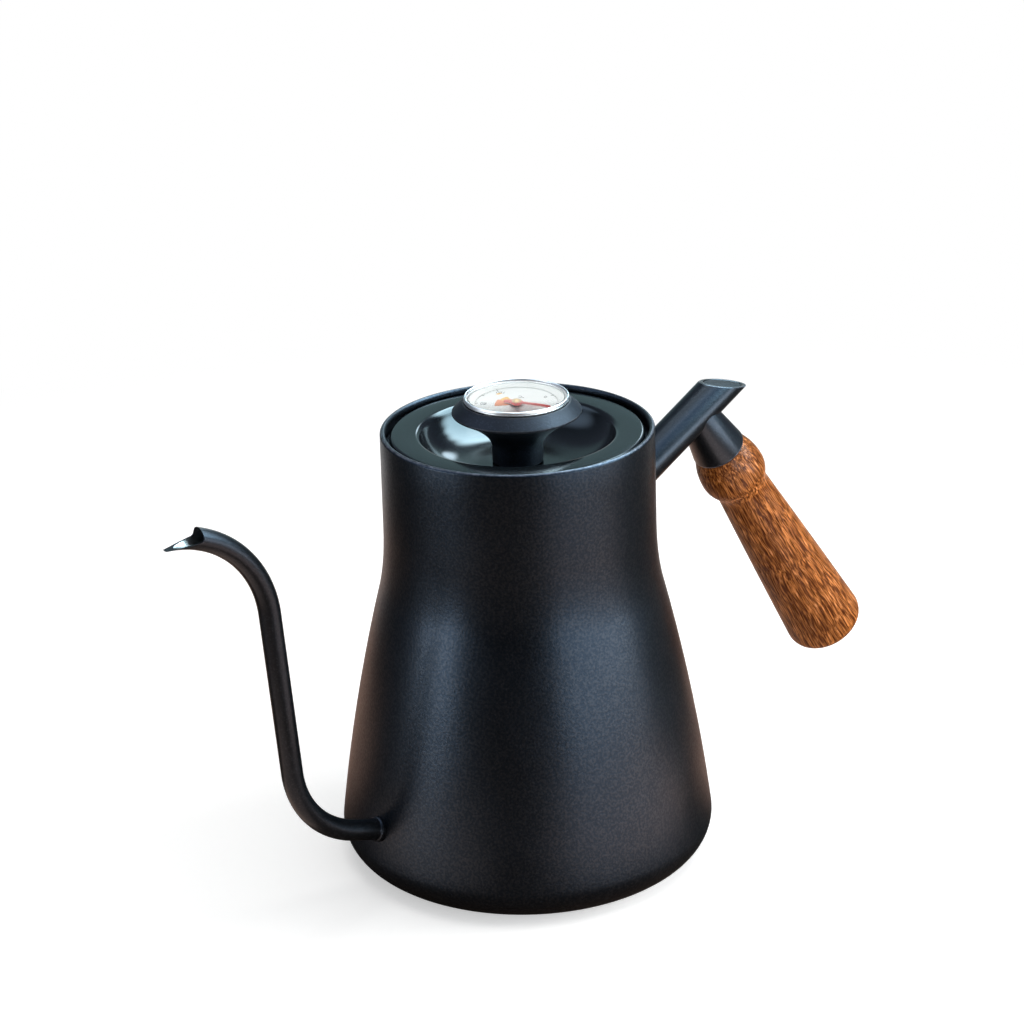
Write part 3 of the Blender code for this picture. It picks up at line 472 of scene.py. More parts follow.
# %% [markdown]
# ## Turned pieces
# Most of this kettle is round: the body, the lid, the knob and the grip could each come off a lathe.
# Such a piece is one outline, given as radius and height in millimetres, turned about the axis. A
# Screw modifier could do it, but writing the rings directly lets each ring carry a mark for worn
# edges, and lets some rings take a second finish. Corners are softened first, since no real edge is
# perfectly sharp and the thin highlight on it is what makes metal look like metal.

# %% Outlines and turning
STEPS, ON_AXIS = 144, 1e-6
CORNER_WEAR = (0.0, 0.8, 1.0, 0.8, 0.0)


def arc(centre, radius, start, end, count):
    """Points of an arc in (radius, height), angles in degrees."""
    angles = [math.radians(start + (end - start) * i / count) for i in range(count + 1)]
    return [(centre[0] + radius * math.cos(a), centre[1] + radius * math.sin(a)) for a in angles]


def sweep(first, corner, last, count):
    """Points of a curve that leaves first and reaches last along the lines through corner."""
    points = []
    for i in range(count + 1):
        t = i / count
        weights = ((1 - t) ** 2, 2 * t * (1 - t), t ** 2)
        points.append(tuple(sum(w * p[k] for w, p in zip(weights, (first, corner, last))) for k in (0, 1)))
    return points


def box(inner, outer, low, high):
    """Outline of a plain ring."""
    return [(inner, low), (outer, low), (outer, high), (inner, high)]


def soften(outline, radius, limit=25.0):
    """Round the corners of a closed outline; returns (radius, height, worn) points."""
    points = []
    for i, point in enumerate(outline):
        here = Vector(point)
        before = Vector(outline[i - 1]) - here
        after = Vector(outline[(i + 1) % len(outline)]) - here
        turn = 180 - math.degrees(before.angle(after, math.pi))
        if point[0] < ON_AXIS or turn < limit:
            points.append(point)
            continue
        reach = min(radius, 0.4 * before.length, 0.4 * after.length)
        start = here + before.normalized() * reach
        end = here + after.normalized() * reach
        convex = 1.0 if before.cross(after) < 0 else 0.0
        for (x, y), wear in zip(sweep(start, here, end, len(CORNER_WEAR) - 1), CORNER_WEAR):
            points.append((max(x, 0.0), y, convex * wear))
    return points


def turned(points, steps=STEPS, second=lambda radius, height: False):
    """Closed outline of (radius, height) or (radius, height, worn) points turned about Z, as mesh data.

    second picks the faces that take the second finish.
    """
    mesh_data = bmesh.new()
    worn = mesh_data.verts.layers.float.new("worn")
    rings = []
    for radius, height, *wear in points:
        ring = []
        for i in range(1 if radius < ON_AXIS else steps):
            angle = 2 * math.pi * i / steps
            east, north = radius * MM * math.cos(angle), radius * MM * math.sin(angle)
            ring.append(mesh_data.verts.new((east, north, height * MM)))
            ring[-1][worn] = wear[0] if wear else 0.0
        rings.append(ring)
    for k, ring in enumerate(rings):
        following = rings[(k + 1) % len(rings)]
        near, far = points[k], points[(k + 1) % len(points)]
        slot = 1 if second((near[0] + far[0]) / 2, (near[1] + far[1]) / 2) else 0
        if len(ring) == 1 and len(following) == 1:
            continue
        for i in range(steps):
            corners = [ring[i % len(ring)], ring[(i + 1) % len(ring)]]
            corners += [following[(i + 1) % len(following)], following[i % len(following)]]
            mesh_data.faces.new(list(dict.fromkeys(corners))).material_index = slot
    return mesh_data


print("turning", STEPS, "steps")

# %% [markdown]
# ## Finished pieces
# Every piece ends the same way: faces turned outwards, smooth shading with sharp creases kept, its finishes,
# the body that it rides on and the solids that it stands for.

# %% Finish a piece
CREASE = math.radians(32)


def object_of(name, mesh_data):
    """New object with its faces turned outwards, from mesh data that is used up."""
    bmesh.ops.recalc_face_normals(mesh_data, faces=mesh_data.faces)
    mesh = bpy.data.meshes.new(name)
    mesh_data.to_mesh(mesh)
    mesh_data.free()
    return shown(name, mesh)


def piece(name, mesh_data, finishes, body, slot, *nodes):
    """Turn mesh data into a finished piece that rides on a body and stands for these solids."""
    made = object_of(name, mesh_data)
    for finish in finishes:
        made.data.materials.append(finish)
    made.data.shade_smooth()
    made.data.set_sharp_from_angle(angle=CREASE)
    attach(made, body)
    if nodes:
        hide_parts(*nodes)
    print(f"{name}: {len(made.data.polygons)} faces on {body}")
    return made


def lathed(name, outline, softness, finish, body, slot, node, steps=STEPS):
    """Piece that is turned from an outline with softened corners."""
    return piece(name, turned(soften(outline, softness), steps), [finish], body, slot, node)


def placed(mesh_data, origin, along):
    """Move mesh data made about Z to an axis in the XZ plane through a point in mm."""
    across = Vector((0, 1, 0))
    turn = Matrix((across.cross(along), across, along)).transposed().to_4x4()
    bmesh.ops.transform(mesh_data, matrix=Matrix.Translation(origin * MM) @ turn, verts=mesh_data.verts)
    return mesh_data


print("pieces can be finished")

# %% [markdown]
# ## Body wall
# The body is spun from one sheet: a rounded lower corner, a flank that leans in, a waist that bends back to
# an almost upright neck, and a small rolled bead at the rim. The flank is a single arc that leaves the corner
# and meets the waist without a kink. The coat covers the outside, the bead and a band inside the neck, which
# is painted shade that keeps the gap round the lid dark. The rest of the inside stays bare steel.

# %% Outline of the wall
SHEET = 0.9
BASE_RADIUS, BASE_CORNER, BASE_LIFT, BASE_FLANGE = 62.5, 10.5, 0.4, 5.5
RIM_HEIGHT, RIM_BEAD, NECK_RADIUS = 148.0, 0.9, 44.2
RIM_SIDE = RIM_HEIGHT - RIM_BEAD
WAIST_TOP, WAIST_BEND, WAIST_LOW = 115.0, 102.0, 93.0
FLANK_LEAN, NECK_LEAN = 14.4, 0.5


def wall_outline():
    """Outside of the wall, from the flat bottom to the start of the rim's bead."""
    neck = math.tan(math.radians(NECK_LEAN))
    lean = math.radians(FLANK_LEAN)
    top = (NECK_RADIUS + (RIM_SIDE - WAIST_TOP) * neck, WAIST_TOP)
    corner = (NECK_RADIUS + (RIM_SIDE - WAIST_BEND) * neck, WAIST_BEND)
    low = (corner[0] + (WAIST_BEND - WAIST_LOW) * math.tan(lean), WAIST_LOW)
    centre = (BASE_RADIUS - BASE_CORNER, BASE_LIFT + BASE_CORNER)
    start_lean = 0.0
    for _ in range(30):
        start = arc(centre, BASE_CORNER, math.degrees(start_lean), 0, 1)[0]
        start_lean = 2 * math.atan2(start[0] - low[0], low[1] - start[1]) - lean
    radius = (low[1] - start[1]) / (math.sin(lean) - math.sin(start_lean))
    flank_centre = (start[0] - radius * math.cos(start_lean), start[1] - radius * math.sin(start_lean))
    outline = [(BASE_RADIUS - BASE_CORNER - BASE_FLANGE, BASE_LIFT)]
    outline += arc(centre, BASE_CORNER, -90, math.degrees(start_lean), 16)
    outline += arc(flank_centre, radius, math.degrees(start_lean), FLANK_LEAN, 28)[1:]
    outline += sweep(low, corner, top, 22)[1:]
    outline += [(NECK_RADIUS + (RIM_SIDE - z) * neck, z) for z in (122, 130, 138)]
    return outline + [(NECK_RADIUS, RIM_SIDE)]


WALL = wall_outline()


def wall_radius(height):
    """Outer radius of the wall at a height, in millimetres."""
    return float(np.interp(height, [z for _, z in WALL[1:]], [r for r, _ in WALL[1:]]))


def offset(points, amount):
    """Outline moved to its left side by a distance."""
    moved = []
    for i, point in enumerate(points):
        way = Vector(points[min(i + 1, len(points) - 1)]) - Vector(points[max(i - 1, 0)])
        way.normalize()
        moved.append((point[0] - way.y * amount, point[1] + way.x * amount))
    return moved


print("wall outline has", len(WALL), "points")

# %% Body wall
WALL_STEPS, PAINTED_SHADE_BAND = 192, 9
bead = arc((NECK_RADIUS - RIM_BEAD, RIM_SIDE), RIM_BEAD, 0, 180, 12)[1:]
bead += [(NECK_RADIUS - 2 * RIM_BEAD, RIM_SIDE - RIM_BEAD), (NECK_RADIUS - SHEET, RIM_SIDE - 2 * RIM_BEAD)]
# The bead's mark peaks on its upper outer side: partly wear, partly the painted highlight line along the rim.
worn_and_highlit_bead = [(r, z, max(0.0, 1 - abs(k - 3) / 3.5)) for k, (r, z) in enumerate(bead)]
lining = offset(WALL, SHEET)[:-1][::-1]


# The coated band inside the neck is painted shade for the gap round the lid.
def bare_inside(radius, height):
    """Inner side of the wall below the coated band."""
    return radius < wall_radius(height) - 0.7 * SHEET and height < RIM_SIDE - PAINTED_SHADE_BAND


wall_mesh = turned([*WALL, *worn_and_highlit_bead, *lining], WALL_STEPS, bare_inside)
print("wall turned:", len(wall_mesh.faces), "faces")

# %% [markdown]
# ## Gooseneck spout
# The spout is one bent tube: a short reach out of the wall, a tight lower bend, a long upright run and
# an upper bend that ends in a beak. It is a shape that follows a path, so a Geometry Nodes tree sweeps
# it: the path becomes a curve, one circle draws the outside and a smaller one the bore. The thicker
# foot at the wall is a change of the sweep's scale over the first millimetres.

# %% Path of the spout
SPOUT_RADIUS, SPOUT_WALL, SPOUT_START = 3.5, 0.6, 3.0
SPOUT_ROOT_Z, SPOUT_RISE, SPOUT_REACH = 23.2, 17.5, 9.5
SPOUT_LOW_BEND, SPOUT_LEAN, SPOUT_RUN = 32.0, 4.3, 56.3
SPOUT_TOP_BEND, SPOUT_END_RISE, SPOUT_LIP = 36.3, 5.0, 0.9
spout_root = Vector((-wall_radius(SPOUT_ROOT_Z), 0, SPOUT_ROOT_Z))
spout_out = heading(180 - SPOUT_RISE)


def spout_path():
    """Stations of the spout: (point in mm, climb in degrees, distance from the first one)."""
    path = [(spout_root - spout_out * SPOUT_START, SPOUT_RISE, 0.0)]

    def run(length, end_rise, step):
        """Straight run, or a bend when the climb changes."""
        first_rise = path[-1][1]
        count = max(2, round(length / step))
        for i in range(count):
            point, _, travelled = path[-1]
            middle = first_rise + (end_rise - first_rise) * (i + 0.5) / count
            rise = first_rise + (end_rise - first_rise) * (i + 1) / count
            point = point + heading(180 - middle) * (length / count)
            path.append((point, rise, travelled + length / count))

    upright = 90 - SPOUT_LEAN
    run(SPOUT_START + SPOUT_REACH, SPOUT_RISE, 0.25)
    run(SPOUT_LOW_BEND * math.radians(upright - SPOUT_RISE), upright, 0.8)
    run(SPOUT_RUN, upright, 2.0)
    run(SPOUT_TOP_BEND * math.radians(upright - SPOUT_END_RISE), SPOUT_END_RISE, 0.8)
    run(SPOUT_LIP, SPOUT_END_RISE, 0.4)
    return path


stations = spout_path()
print(f"spout path: {len(stations)} stations, {stations[-1][2]:.1f} mm long")

# %% Geometry Nodes helpers


def geometry_tree(name, **sockets):
    """Empty geometry tree; each keyword is a kind of socket and lists the inputs of that kind."""
    tree = bpy.data.node_groups.new(name, "GeometryNodeTree")
    tree.interface.new_socket("Geometry", in_out="INPUT", socket_type="NodeSocketGeometry")
    for kind, labels in sockets.items():
        for label in labels:
            tree.interface.new_socket(label, in_out="INPUT", socket_type="NodeSocket" + kind)
    tree.interface.new_socket("Geometry", in_out="OUTPUT", socket_type="NodeSocketGeometry")
    return tree, tree.nodes.new("NodeGroupInput").outputs, tree.nodes.new("NodeGroupOutput").inputs[0]


def plain_mesh(holder):
    """Mesh of an object after its modifiers."""
    return bpy.data.meshes.new_from_object(holder.evaluated_get(bpy.context.evaluated_depsgraph_get()))


def grown(tree, values, base):
    """Run a geometry tree on a base mesh with named values and return the result as a plain mesh."""
    holder = shown(tree.name, base)
    modifier = holder.modifiers.new(tree.name, "NODES")
    modifier.node_group = tree
    for item in tree.interface.items_tree:
        if item.in_out == "INPUT" and item.name in values:
            modifier[item.identifier] = values[item.name]
    holder.update_tag()
    result = plain_mesh(holder)
    holder.modifiers.remove(modifier)
    bpy.data.objects.remove(holder, do_unlink=True)
    return result


def finished(tree, geometry, finish):
    """Geometry with its material."""
    return out(tree, "GeometryNodeSetMaterial", {"Geometry": geometry, "Material": finish})


print("geometry helpers ready")

# %% Tree that sweeps a tube
FOOT_STEP = 0.4 * MM
tube_tree, tube_in, tube_end = geometry_tree(
    "Swept tube",
    Float=("Outer Radius", "Bore Radius", "Foot Radius", "Foot Length"),
    Int=("Sides",),
    Material=("Coat", "Bore Finish"),
)
path = out(tube_tree, "GeometryNodeMeshToCurve", {0: tube_in["Geometry"]})
travel = add(tube_tree, "GeometryNodeSplineParameter").outputs["Length"]
tag = {"Geometry": path, "Name": "along", "Value": travel}
tagged = out(tube_tree, "GeometryNodeStoreNamedAttribute", tag)
foot_end = sums(tube_tree, "ADD", tube_in["Foot Length"], FOOT_STEP)
foot_share = ramp(tube_tree, travel, tube_in["Foot Length"], foot_end, 1.0, 0.0)
extra = sums(tube_tree, "SUBTRACT", tube_in["Foot Radius"], tube_in["Outer Radius"])
outer_size = sums(tube_tree, "ADD", times(tube_tree, extra, foot_share), tube_in["Outer Radius"])
circle = out(tube_tree, "GeometryNodeCurvePrimitiveCircle", {"Resolution": tube_in["Sides"], "Radius": 1.0})
profile = {"Curve": tagged, "Profile Curve": circle}
outside = out(tube_tree, "GeometryNodeCurveToMesh", {**profile, "Scale": outer_size})
inside = out(tube_tree, "GeometryNodeCurveToMesh", {**profile, "Scale": tube_in["Bore Radius"]})
flipped = out(tube_tree, "GeometryNodeFlipFaces", {"Mesh": inside})
both = add(tube_tree, "GeometryNodeJoinGeometry")
tube_tree.links.new(finished(tube_tree, outside, tube_in["Coat"]), both.inputs[0])
tube_tree.links.new(finished(tube_tree, flipped, tube_in["Bore Finish"]), both.inputs[0])
tube_tree.links.new(out(tube_tree, "GeometryNodeRealizeInstances", {0: both.outputs[0]}), tube_end)
print("tree:", tube_tree.name)

# %% [markdown]
# The swept tube is still open at both ends, and its ends are bridged. Its foot starts inside the body
# and is cut off just under the wall's surface, as a coped tube is. The mouth is cut to a beak by a
# prism whose side view is the cut: a rounded notch behind the upper lip, then a long slope that leaves
# the lower lip as a pointed tongue.

# %% Sweep the spout
FOOT_RADIUS, FOOT_REACH, BORE_RADIUS = 4.1, 1.2, SPOUT_RADIUS - SPOUT_WALL
SPOUT_FINISHES = [spout_coat, bore_steel]
line = bpy.data.meshes.new("spout_path")
line_edges = [(i, i + 1) for i in range(len(stations) - 1)]
line.from_pydata([tuple(point * MM) for point, _, _ in stations], line_edges, [])
spout_values = {
    "Outer Radius": SPOUT_RADIUS * MM,
    "Bore Radius": BORE_RADIUS * MM,
    "Foot Radius": FOOT_RADIUS * MM,
    "Foot Length": (SPOUT_START + FOOT_REACH) * MM,
    "Sides": 40,
    "Coat": spout_coat,
    "Bore Finish": bore_steel,
}
swept = grown(tube_tree, spout_values, line)
spout_mesh = bmesh.new()
spout_mesh.from_mesh(swept)
order = [SPOUT_FINISHES.index(finish) for finish in swept.materials]
for face in spout_mesh.faces:
    face.material_index = order[face.material_index]
rims = [edge for edge in spout_mesh.edges if edge.is_boundary]
length_of = spout_mesh.verts.layers.float["along"]
for near_wall in (True, False):
    loop = [edge for edge in rims if (edge.verts[0][length_of] < SPOUT_START * MM) == near_wall]
    bmesh.ops.bridge_loops(spout_mesh, edges=loop)
bmesh.ops.recalc_face_normals(spout_mesh, faces=spout_mesh.faces)
closed = all(edge.is_manifold for edge in spout_mesh.edges)
print("swept tube:", len(spout_mesh.faces), "faces, closed:", closed)

# %% Helpers for cutting


def difference(mesh_data, cutters, finishes):
    """Mesh data with other objects taken away, which are used up."""
    target = object_of("target", mesh_data)
    for finish in finishes:
        target.data.materials.append(finish)
    for cutter in cutters:
        modifier = target.modifiers.new(cutter.name, "BOOLEAN")
        modifier.operation, modifier.solver, modifier.object = "DIFFERENCE", "EXACT", cutter
    result = plain_mesh(target)
    target.modifiers.clear()
    for used in (target, *cutters):
        bpy.data.objects.remove(used, do_unlink=True)
    mesh_data = bmesh.new()
    mesh_data.from_mesh(result)
    bmesh.ops.remove_doubles(mesh_data, verts=mesh_data.verts, dist=1e-6)
    return mesh_data


def skin(rings, wear=None, joined=False, slot=0, mesh_data=None):
    """Closed skin through rings of points in mm, each with a mark for wear; the ends are joined or filled."""
    mesh_data = bmesh.new() if mesh_data is None else mesh_data
    layers = mesh_data.verts.layers.float
    worn = layers.get("worn") or layers.new("worn")
    loops = []
    for ring, mark in zip(rings, wear or [0.0] * len(rings)):
        loops.append([mesh_data.verts.new([value * MM for value in point]) for point in ring])
        for vertex in loops[-1]:
            vertex[worn] = mark
    faces = [] if joined else [loops[0], loops[-1]]
    for first, second in zip(loops, loops[1:] + (loops[:1] if joined else [])):
        for i in range(len(first)):
            j = (i + 1) % len(first)
            faces.append((first[i], first[j], second[j], second[i]))
    for corners in faces:
        mesh_data.faces.new(corners).material_index = slot
    return mesh_data


def rod(name, radius, half, steps, origin, along):
    """Round rod for cutting, with its middle at a point in mm."""
    return object_of(name, placed(turned(box(0, radius, -half, half), steps), origin, along))


print("cutting helpers ready")

# %% Cut the foot and the beak
BEAK_LENGTH, BEAK_BACK, BEAK_NOTCH, BEAK_TIP, BEAK_SAG = 10.4, 1.5, 3.3, 0.2, 0.25
CLEAR, SINK = 7, 0.3


def beside_mouth(back, above):
    """A point of the spout's side view, back from the mouth and above the tube's axis."""
    at = stations[-1][2] - back
    lengths = [station[2] for station in stations]
    x, z = (float(np.interp(at, lengths, [station[0][k] for station in stations])) for k in (0, 2))
    rise = float(np.interp(at, lengths, [station[1] for station in stations]))
    place = Vector((x, 0, z)) + heading(90 - rise) * above
    return Vector((place.x, place.z))


over = beside_mouth(BEAK_LENGTH, 2 * CLEAR)
lip = beside_mouth(BEAK_LENGTH, SPOUT_RADIUS)
notch = beside_mouth(BEAK_LENGTH + BEAK_BACK, SPOUT_RADIUS - BEAK_NOTCH)
tip = beside_mouth(0, BEAK_TIP - SPOUT_RADIUS)
far = tip + heading(180 - SPOUT_END_RISE).xz * CLEAR
into, leaving = lip.lerp(notch, 0.55), notch.lerp(tip, 0.12)
hollow = leaving.lerp(tip, 0.5) - Vector((0, BEAK_SAG))
beak = [over, lip, *sweep(into, notch, leaving, 10)[:-1], *sweep(leaving, hollow, tip, 10)]
beak += [far, (far.x, over.y + CLEAR), (over.x, over.y + CLEAR)]
beak_cut = object_of("beak_cut", skin([[(x, y, z) for x, z in beak] for y in (-CLEAR, CLEAR)]))

buried = offset(WALL, SINK)
inside_wall = turned([(0, buried[0][1]), *buried, (0, buried[-1][1])], WALL_STEPS)
spout_mesh = difference(spout_mesh, [object_of("inside_of_wall", inside_wall), beak_cut], SPOUT_FINISHES)
piece("gooseneck", spout_mesh, SPOUT_FINISHES, "kettle", "coated_tube", "spout_tube")

# %% [markdown]
# Behind the foot the wall is drilled to the width of the tube's bore, so that water can reach the
# spout. The wall is finished only now, because the drill needs the place where the spout meets it.

# %% Drill and finish the wall
WALL_FINISHES = [wall_coat, brushed_steel]
spout_drill = rod("spout_drill", BORE_RADIUS, CLEAR, 40, spout_root, spout_out)
wall_mesh = difference(wall_mesh, [spout_drill], WALL_FINISHES)
piece("wall", wall_mesh, WALL_FINISHES, "kettle", "coated_body", "body_shell")

# %% [markdown]
# ## Handle arm
# A straight tube leaves the neck at a steep angle and is cut off almost level, so its end shows as a
# flat ellipse with a plate let into it. The tube is made of rings: each ring is round when seen along
# the tube, and is slid along it point by point until it lies on the wall or in the plane of the cut.

# %% Handle arm and its end plate
ARM_RADIUS, ARM_BORE, ARM_ROOT_Z = 6.45, 5.25, 116.3
ARM_LENGTH, ARM_BEYOND, ARM_END_SLOPE = 36.6, 14.2, 12.0
ARM_SIDES, ARM_TRY = 72, 12.0
ARM_ALONG, GRIP_ALONG = heading(ARM_RISE), heading(-GRIP_FALL)
arm_root = Vector((wall_radius(ARM_ROOT_Z), 0, ARM_ROOT_Z))
grip_axis = arm_root + ARM_ALONG * ARM_LENGTH
arm_angles = [2 * math.pi * i / ARM_SIDES for i in range(ARM_SIDES)]


def arm_point(angle, radius, distance):
    """Point of the arm's tube: angle 0 faces down, distance is measured along the tube from the wall."""
    down = Vector((0, 1, 0)).cross(ARM_ALONG)
    across = Vector((0, radius * math.sin(angle), 0))
    return arm_root + down * radius * math.cos(angle) + across + ARM_ALONG * distance


def mitred(radius, back):
    """Ring in the plane of the arm's cut end, or a little back from it."""
    fall = 1 / math.tan(math.radians(ARM_RISE + ARM_END_SLOPE))
    end = ARM_LENGTH + ARM_BEYOND - back
    return [arm_point(angle, radius, end + radius * math.cos(angle) * fall) for angle in arm_angles]


def coped(radius, sink):
    """Ring that lies just under the body wall."""
    ring = []
    for angle in arm_angles:
        low, high = -ARM_TRY, ARM_TRY
        for _ in range(40):
            middle = (low + high) / 2
            trial = arm_point(angle, radius, middle)
            inside = math.hypot(trial.x, trial.y) < wall_radius(trial.z) - sink
            low, high = (middle, high) if inside else (low, middle)
        ring.append(arm_point(angle, radius, high))
    return ring


arm_edge = [(0.0, 0.45), (0.06, 0.2), (0.2, 0.06), (0.4, 0)]
arm_rings = [coped(ARM_RADIUS, SINK), *(mitred(ARM_RADIUS - inset, back) for inset, back in arm_edge)]
arm_rings += [mitred(ARM_BORE + 0.15, 0), mitred(ARM_BORE, 0.2), mitred(ARM_BORE, 2.0)]
# The marks at the cut end give its edge the pale tone: partly worn coat, partly a painted highlight line.
arm_mesh = skin(arm_rings, [0, 0, 0.8, 1, 0.5, 0.2, 0, 0])
piece("arm", arm_mesh, [tube_coat], "kettle", "coated_tube", "handle_arm")
PLATE_RADIUS = ARM_BORE - 0.12
plate_edge = [(0.0, 1.8), (0.0, 0.4), (0.08, 0.22), (0.3, 0.12)]
# The plate's edge mark is likewise partly wear and partly a painted highlight.
plate_mesh = skin([mitred(PLATE_RADIUS - inset, back) for inset, back in plate_edge], [0, 0, 0.6, 0])
piece("arm_plate", plate_mesh, [plate_coat], "kettle", "coated_tube", "arm_end_cap")

# %% [markdown]
# ## Socket and grip
# Under the arm sits a flared cup that takes the grip's tenon. Its top is cut to a saddle, so that it
# hugs the arm: a rod a little thinner than the arm takes the rest away. The grip itself is turned wood:
# a round bead under the cup, a neck, and a long flare to a rounded end. Both are turned about the
# grip's own slanted axis and then put in place, with their final place in the mesh.

# %% Socket and grip
SOCKET_TOP, SOCKET_LENGTH, SOCKET_FLOOR = 0.6, 19.2, 10.7
SOCKET_HOLE, SOCKET_NARROW, SOCKET_WIDE, SOCKET_BORE = 3.3, 6.3, 9.5, 6.8
socket_outline = [(SOCKET_HOLE, SOCKET_TOP), (SOCKET_NARROW, SOCKET_TOP), (SOCKET_WIDE, SOCKET_LENGTH)]
socket_outline += [(SOCKET_BORE, SOCKET_LENGTH), (SOCKET_BORE, SOCKET_FLOOR), (SOCKET_HOLE, SOCKET_FLOOR)]
socket_mesh = placed(turned(soften(socket_outline, 1.1), 96), grip_axis, GRIP_ALONG)
saddle_rod = rod("saddle_rod", ARM_RADIUS - SINK, 20, 120, grip_axis, ARM_ALONG)
socket_mesh = difference(socket_mesh, [saddle_rod], [tube_coat])
piece("socket", socket_mesh, [tube_coat], "kettle", "coated_tube", "handle_socket")

FIT = 0.3
GRIP_TOP, TENON_END = SOCKET_LENGTH + FIT, SOCKET_FLOOR + FIT
SEAT, BEAD, NECK, END = 8.9, 11.6, 9.4, 13.9
BEAD_DROP, END_ROUND, GRIP_END = 11.2, 5.7, GRIP_TOP + 98.0
BEAD_AT, NECK_AT = GRIP_TOP + BEAD_DROP, GRIP_TOP + 20.2
TENON, HOLE, HOLE_END = 6.5, 4.9, 42.55


def grip_outline():
    """Outside of the grip from its seat under the socket to the end of the wood."""
    outline = sweep((SEAT, GRIP_TOP), (BEAD, GRIP_TOP + BEAD_DROP * 0.46), (BEAD, BEAD_AT), 16)
    swing = ((BEAD + NECK) / 2, (BEAD_AT + NECK_AT) / 2)
    outline += sweep((BEAD, BEAD_AT), (BEAD, (BEAD_AT + swing[1]) / 2), swing, 10)[1:]
    outline += sweep(swing, (NECK, (swing[1] + NECK_AT) / 2), (NECK, NECK_AT), 10)[1:]
    flare = (END, GRIP_END - END_ROUND)
    middle = ((NECK + END) / 2 + 0.05 * (END - NECK), (NECK_AT + flare[1]) / 2)
    outline += sweep((NECK, NECK_AT), middle, flare, 24)[1:]
    return outline + sweep(flare, (END, GRIP_END), (END - 1.6 * END_ROUND, GRIP_END), 16)[1:]


grip_points = [(0, HOLE_END), (HOLE, HOLE_END), (HOLE, TENON_END), (TENON, TENON_END), (TENON, GRIP_TOP)]
grip_points += grip_outline() + [(0, GRIP_END)]
piece("grip", placed(turned(grip_points, 120), grip_axis, GRIP_ALONG), [wood], "kettle", "wood", "wood_grip")

# %% [markdown]
# ## Base disc and lid seat
# A plain steel disc closes the bottom, with two fine grooves from the lathe, and a pressed ring inside the
# neck carries the lid. Both are turned. The ring's top wears the neck's black coat as painted shade, so that
# it shows as a dark line beside the lid like a shaded gap; the rest is seen only when the kettle is tipped or
# opened.

# %% Base disc and lid seat
GROOVES, GROOVE_HALF = (18.0, 36.0), 0.4
rim = BASE_RADIUS - BASE_CORNER - BASE_FLANGE - FIT
disc = [(0, 0)]
for groove in GROOVES:
    disc += [(groove - GROOVE_HALF, 0), (groove, 0.2), (groove + GROOVE_HALF, 0)]
disc += [(rim - 0.4, 0), (rim, 0.4), (rim, 1.6), (rim + 3.8, 1.6), (rim + 3.8, 2.8)]
disc += [(rim - 1.2, 2.8), (rim - 2.8, 1.2), (0, 1.2)]
lathed("base_disc", disc, 0.25, brushed_steel, "kettle", "bare_steel", "base_plate", 120)

LID_RADIUS, LID_TOP = 41.2, 146.6
SKIRT_RADIUS, SEAT_TOP = LID_RADIUS - SHEET - 0.6, LID_TOP - 3.5
seat_low, seat_foot = SEAT_TOP - SHEET, SEAT_TOP - 6
seat_bore, seat_outer = SKIRT_RADIUS + FIT, NECK_RADIUS - SHEET - FIT
seat = [(seat_bore, seat_low), (seat_outer - SHEET, seat_low), (seat_outer - SHEET, seat_foot)]
seat += [(seat_outer, seat_foot), (seat_outer, SEAT_TOP), (seat_bore, SEAT_TOP)]
# Black coat on the ring's top: painted shade in the gap beside the lid.
seat_mesh = turned(soften(seat, 0.35), second=lambda r, z: z < SEAT_TOP - 0.4)
piece("seat_ring", seat_mesh, WALL_FINISHES, "kettle", "bare_steel", "lid_seat_ring")

# %% [markdown]
# ## Lid
# The lid is pressed from one sheet: a turned-down edge, a flat ring, and a deep dish in which the knob
# stands. Three small steam vents go through the flat ring. They repeat along an arc, so a Geometry
# Nodes tree sets out the drills, and a Boolean takes them out of the sheet. The top is glossy black
# and the underside is bare.

# %% Outline of the lid
DISH_RADIUS, DISH_FLOOR, DISH_FLAT, DISH_EDGE = 33.2, 136.3, 12.5, 2.2
LID_ROUND, LID_FALL, BOLT_HOLE = 1.3, 3.2, 4.5


def lid_outline():
    """Upper side of the lid from its turned-down edge into the dish and to the bolt's hole."""
    edge = arc((LID_RADIUS - LID_ROUND, LID_TOP - LID_ROUND), LID_ROUND, 0, 90, 8)
    brim = arc((DISH_RADIUS, LID_TOP - DISH_EDGE), DISH_EDGE, 90, 155, 8)
    drop = (brim[-1][1] - DISH_FLOOR) * 0.86
    corner = (brim[-1][0] - drop / math.tan(math.radians(65)), DISH_FLOOR)
    dish = sweep(brim[-1], corner, (DISH_FLAT, DISH_FLOOR), 28)[1:]
    return [(LID_RADIUS, LID_TOP - LID_FALL), *edge, *brim, *dish, (BOLT_HOLE, DISH_FLOOR)]


lid_top = lid_outline()
lid_points = lid_top + offset(lid_top, SHEET)[::-1]


def lid_underside(radius, height):
    """Lower side of the lid, which isn't coated."""
    return height < float(np.interp(-radius, [-r for r, _ in lid_top], [z for _, z in lid_top])) - 0.5


print("lid outline has", len(lid_points), "points")

# %% Tree that sets out drills on an arc


def polar(tree, bearing, radius, level):
    """Place on a circle round the axis."""
    east = times(tree, sums(tree, "COSINE", bearing), radius)
    north = times(tree, sums(tree, "SINE", bearing), radius)
    return out(tree, "ShaderNodeCombineXYZ", {0: east, 1: north, 2: level})


def set_out(tree, sockets, end, place, **inputs):
    """Last steps of a tree: copies at their places, made real, with the finish."""
    spots = out(tree, "GeometryNodePoints", {"Count": sockets["Count"], "Position": place})
    copies = out(tree, "GeometryNodeInstanceOnPoints", {"Points": spots, **inputs})
    real = out(tree, "GeometryNodeRealizeInstances", {0: copies})
    tree.links.new(finished(tree, real, sockets["Finish"]), end)


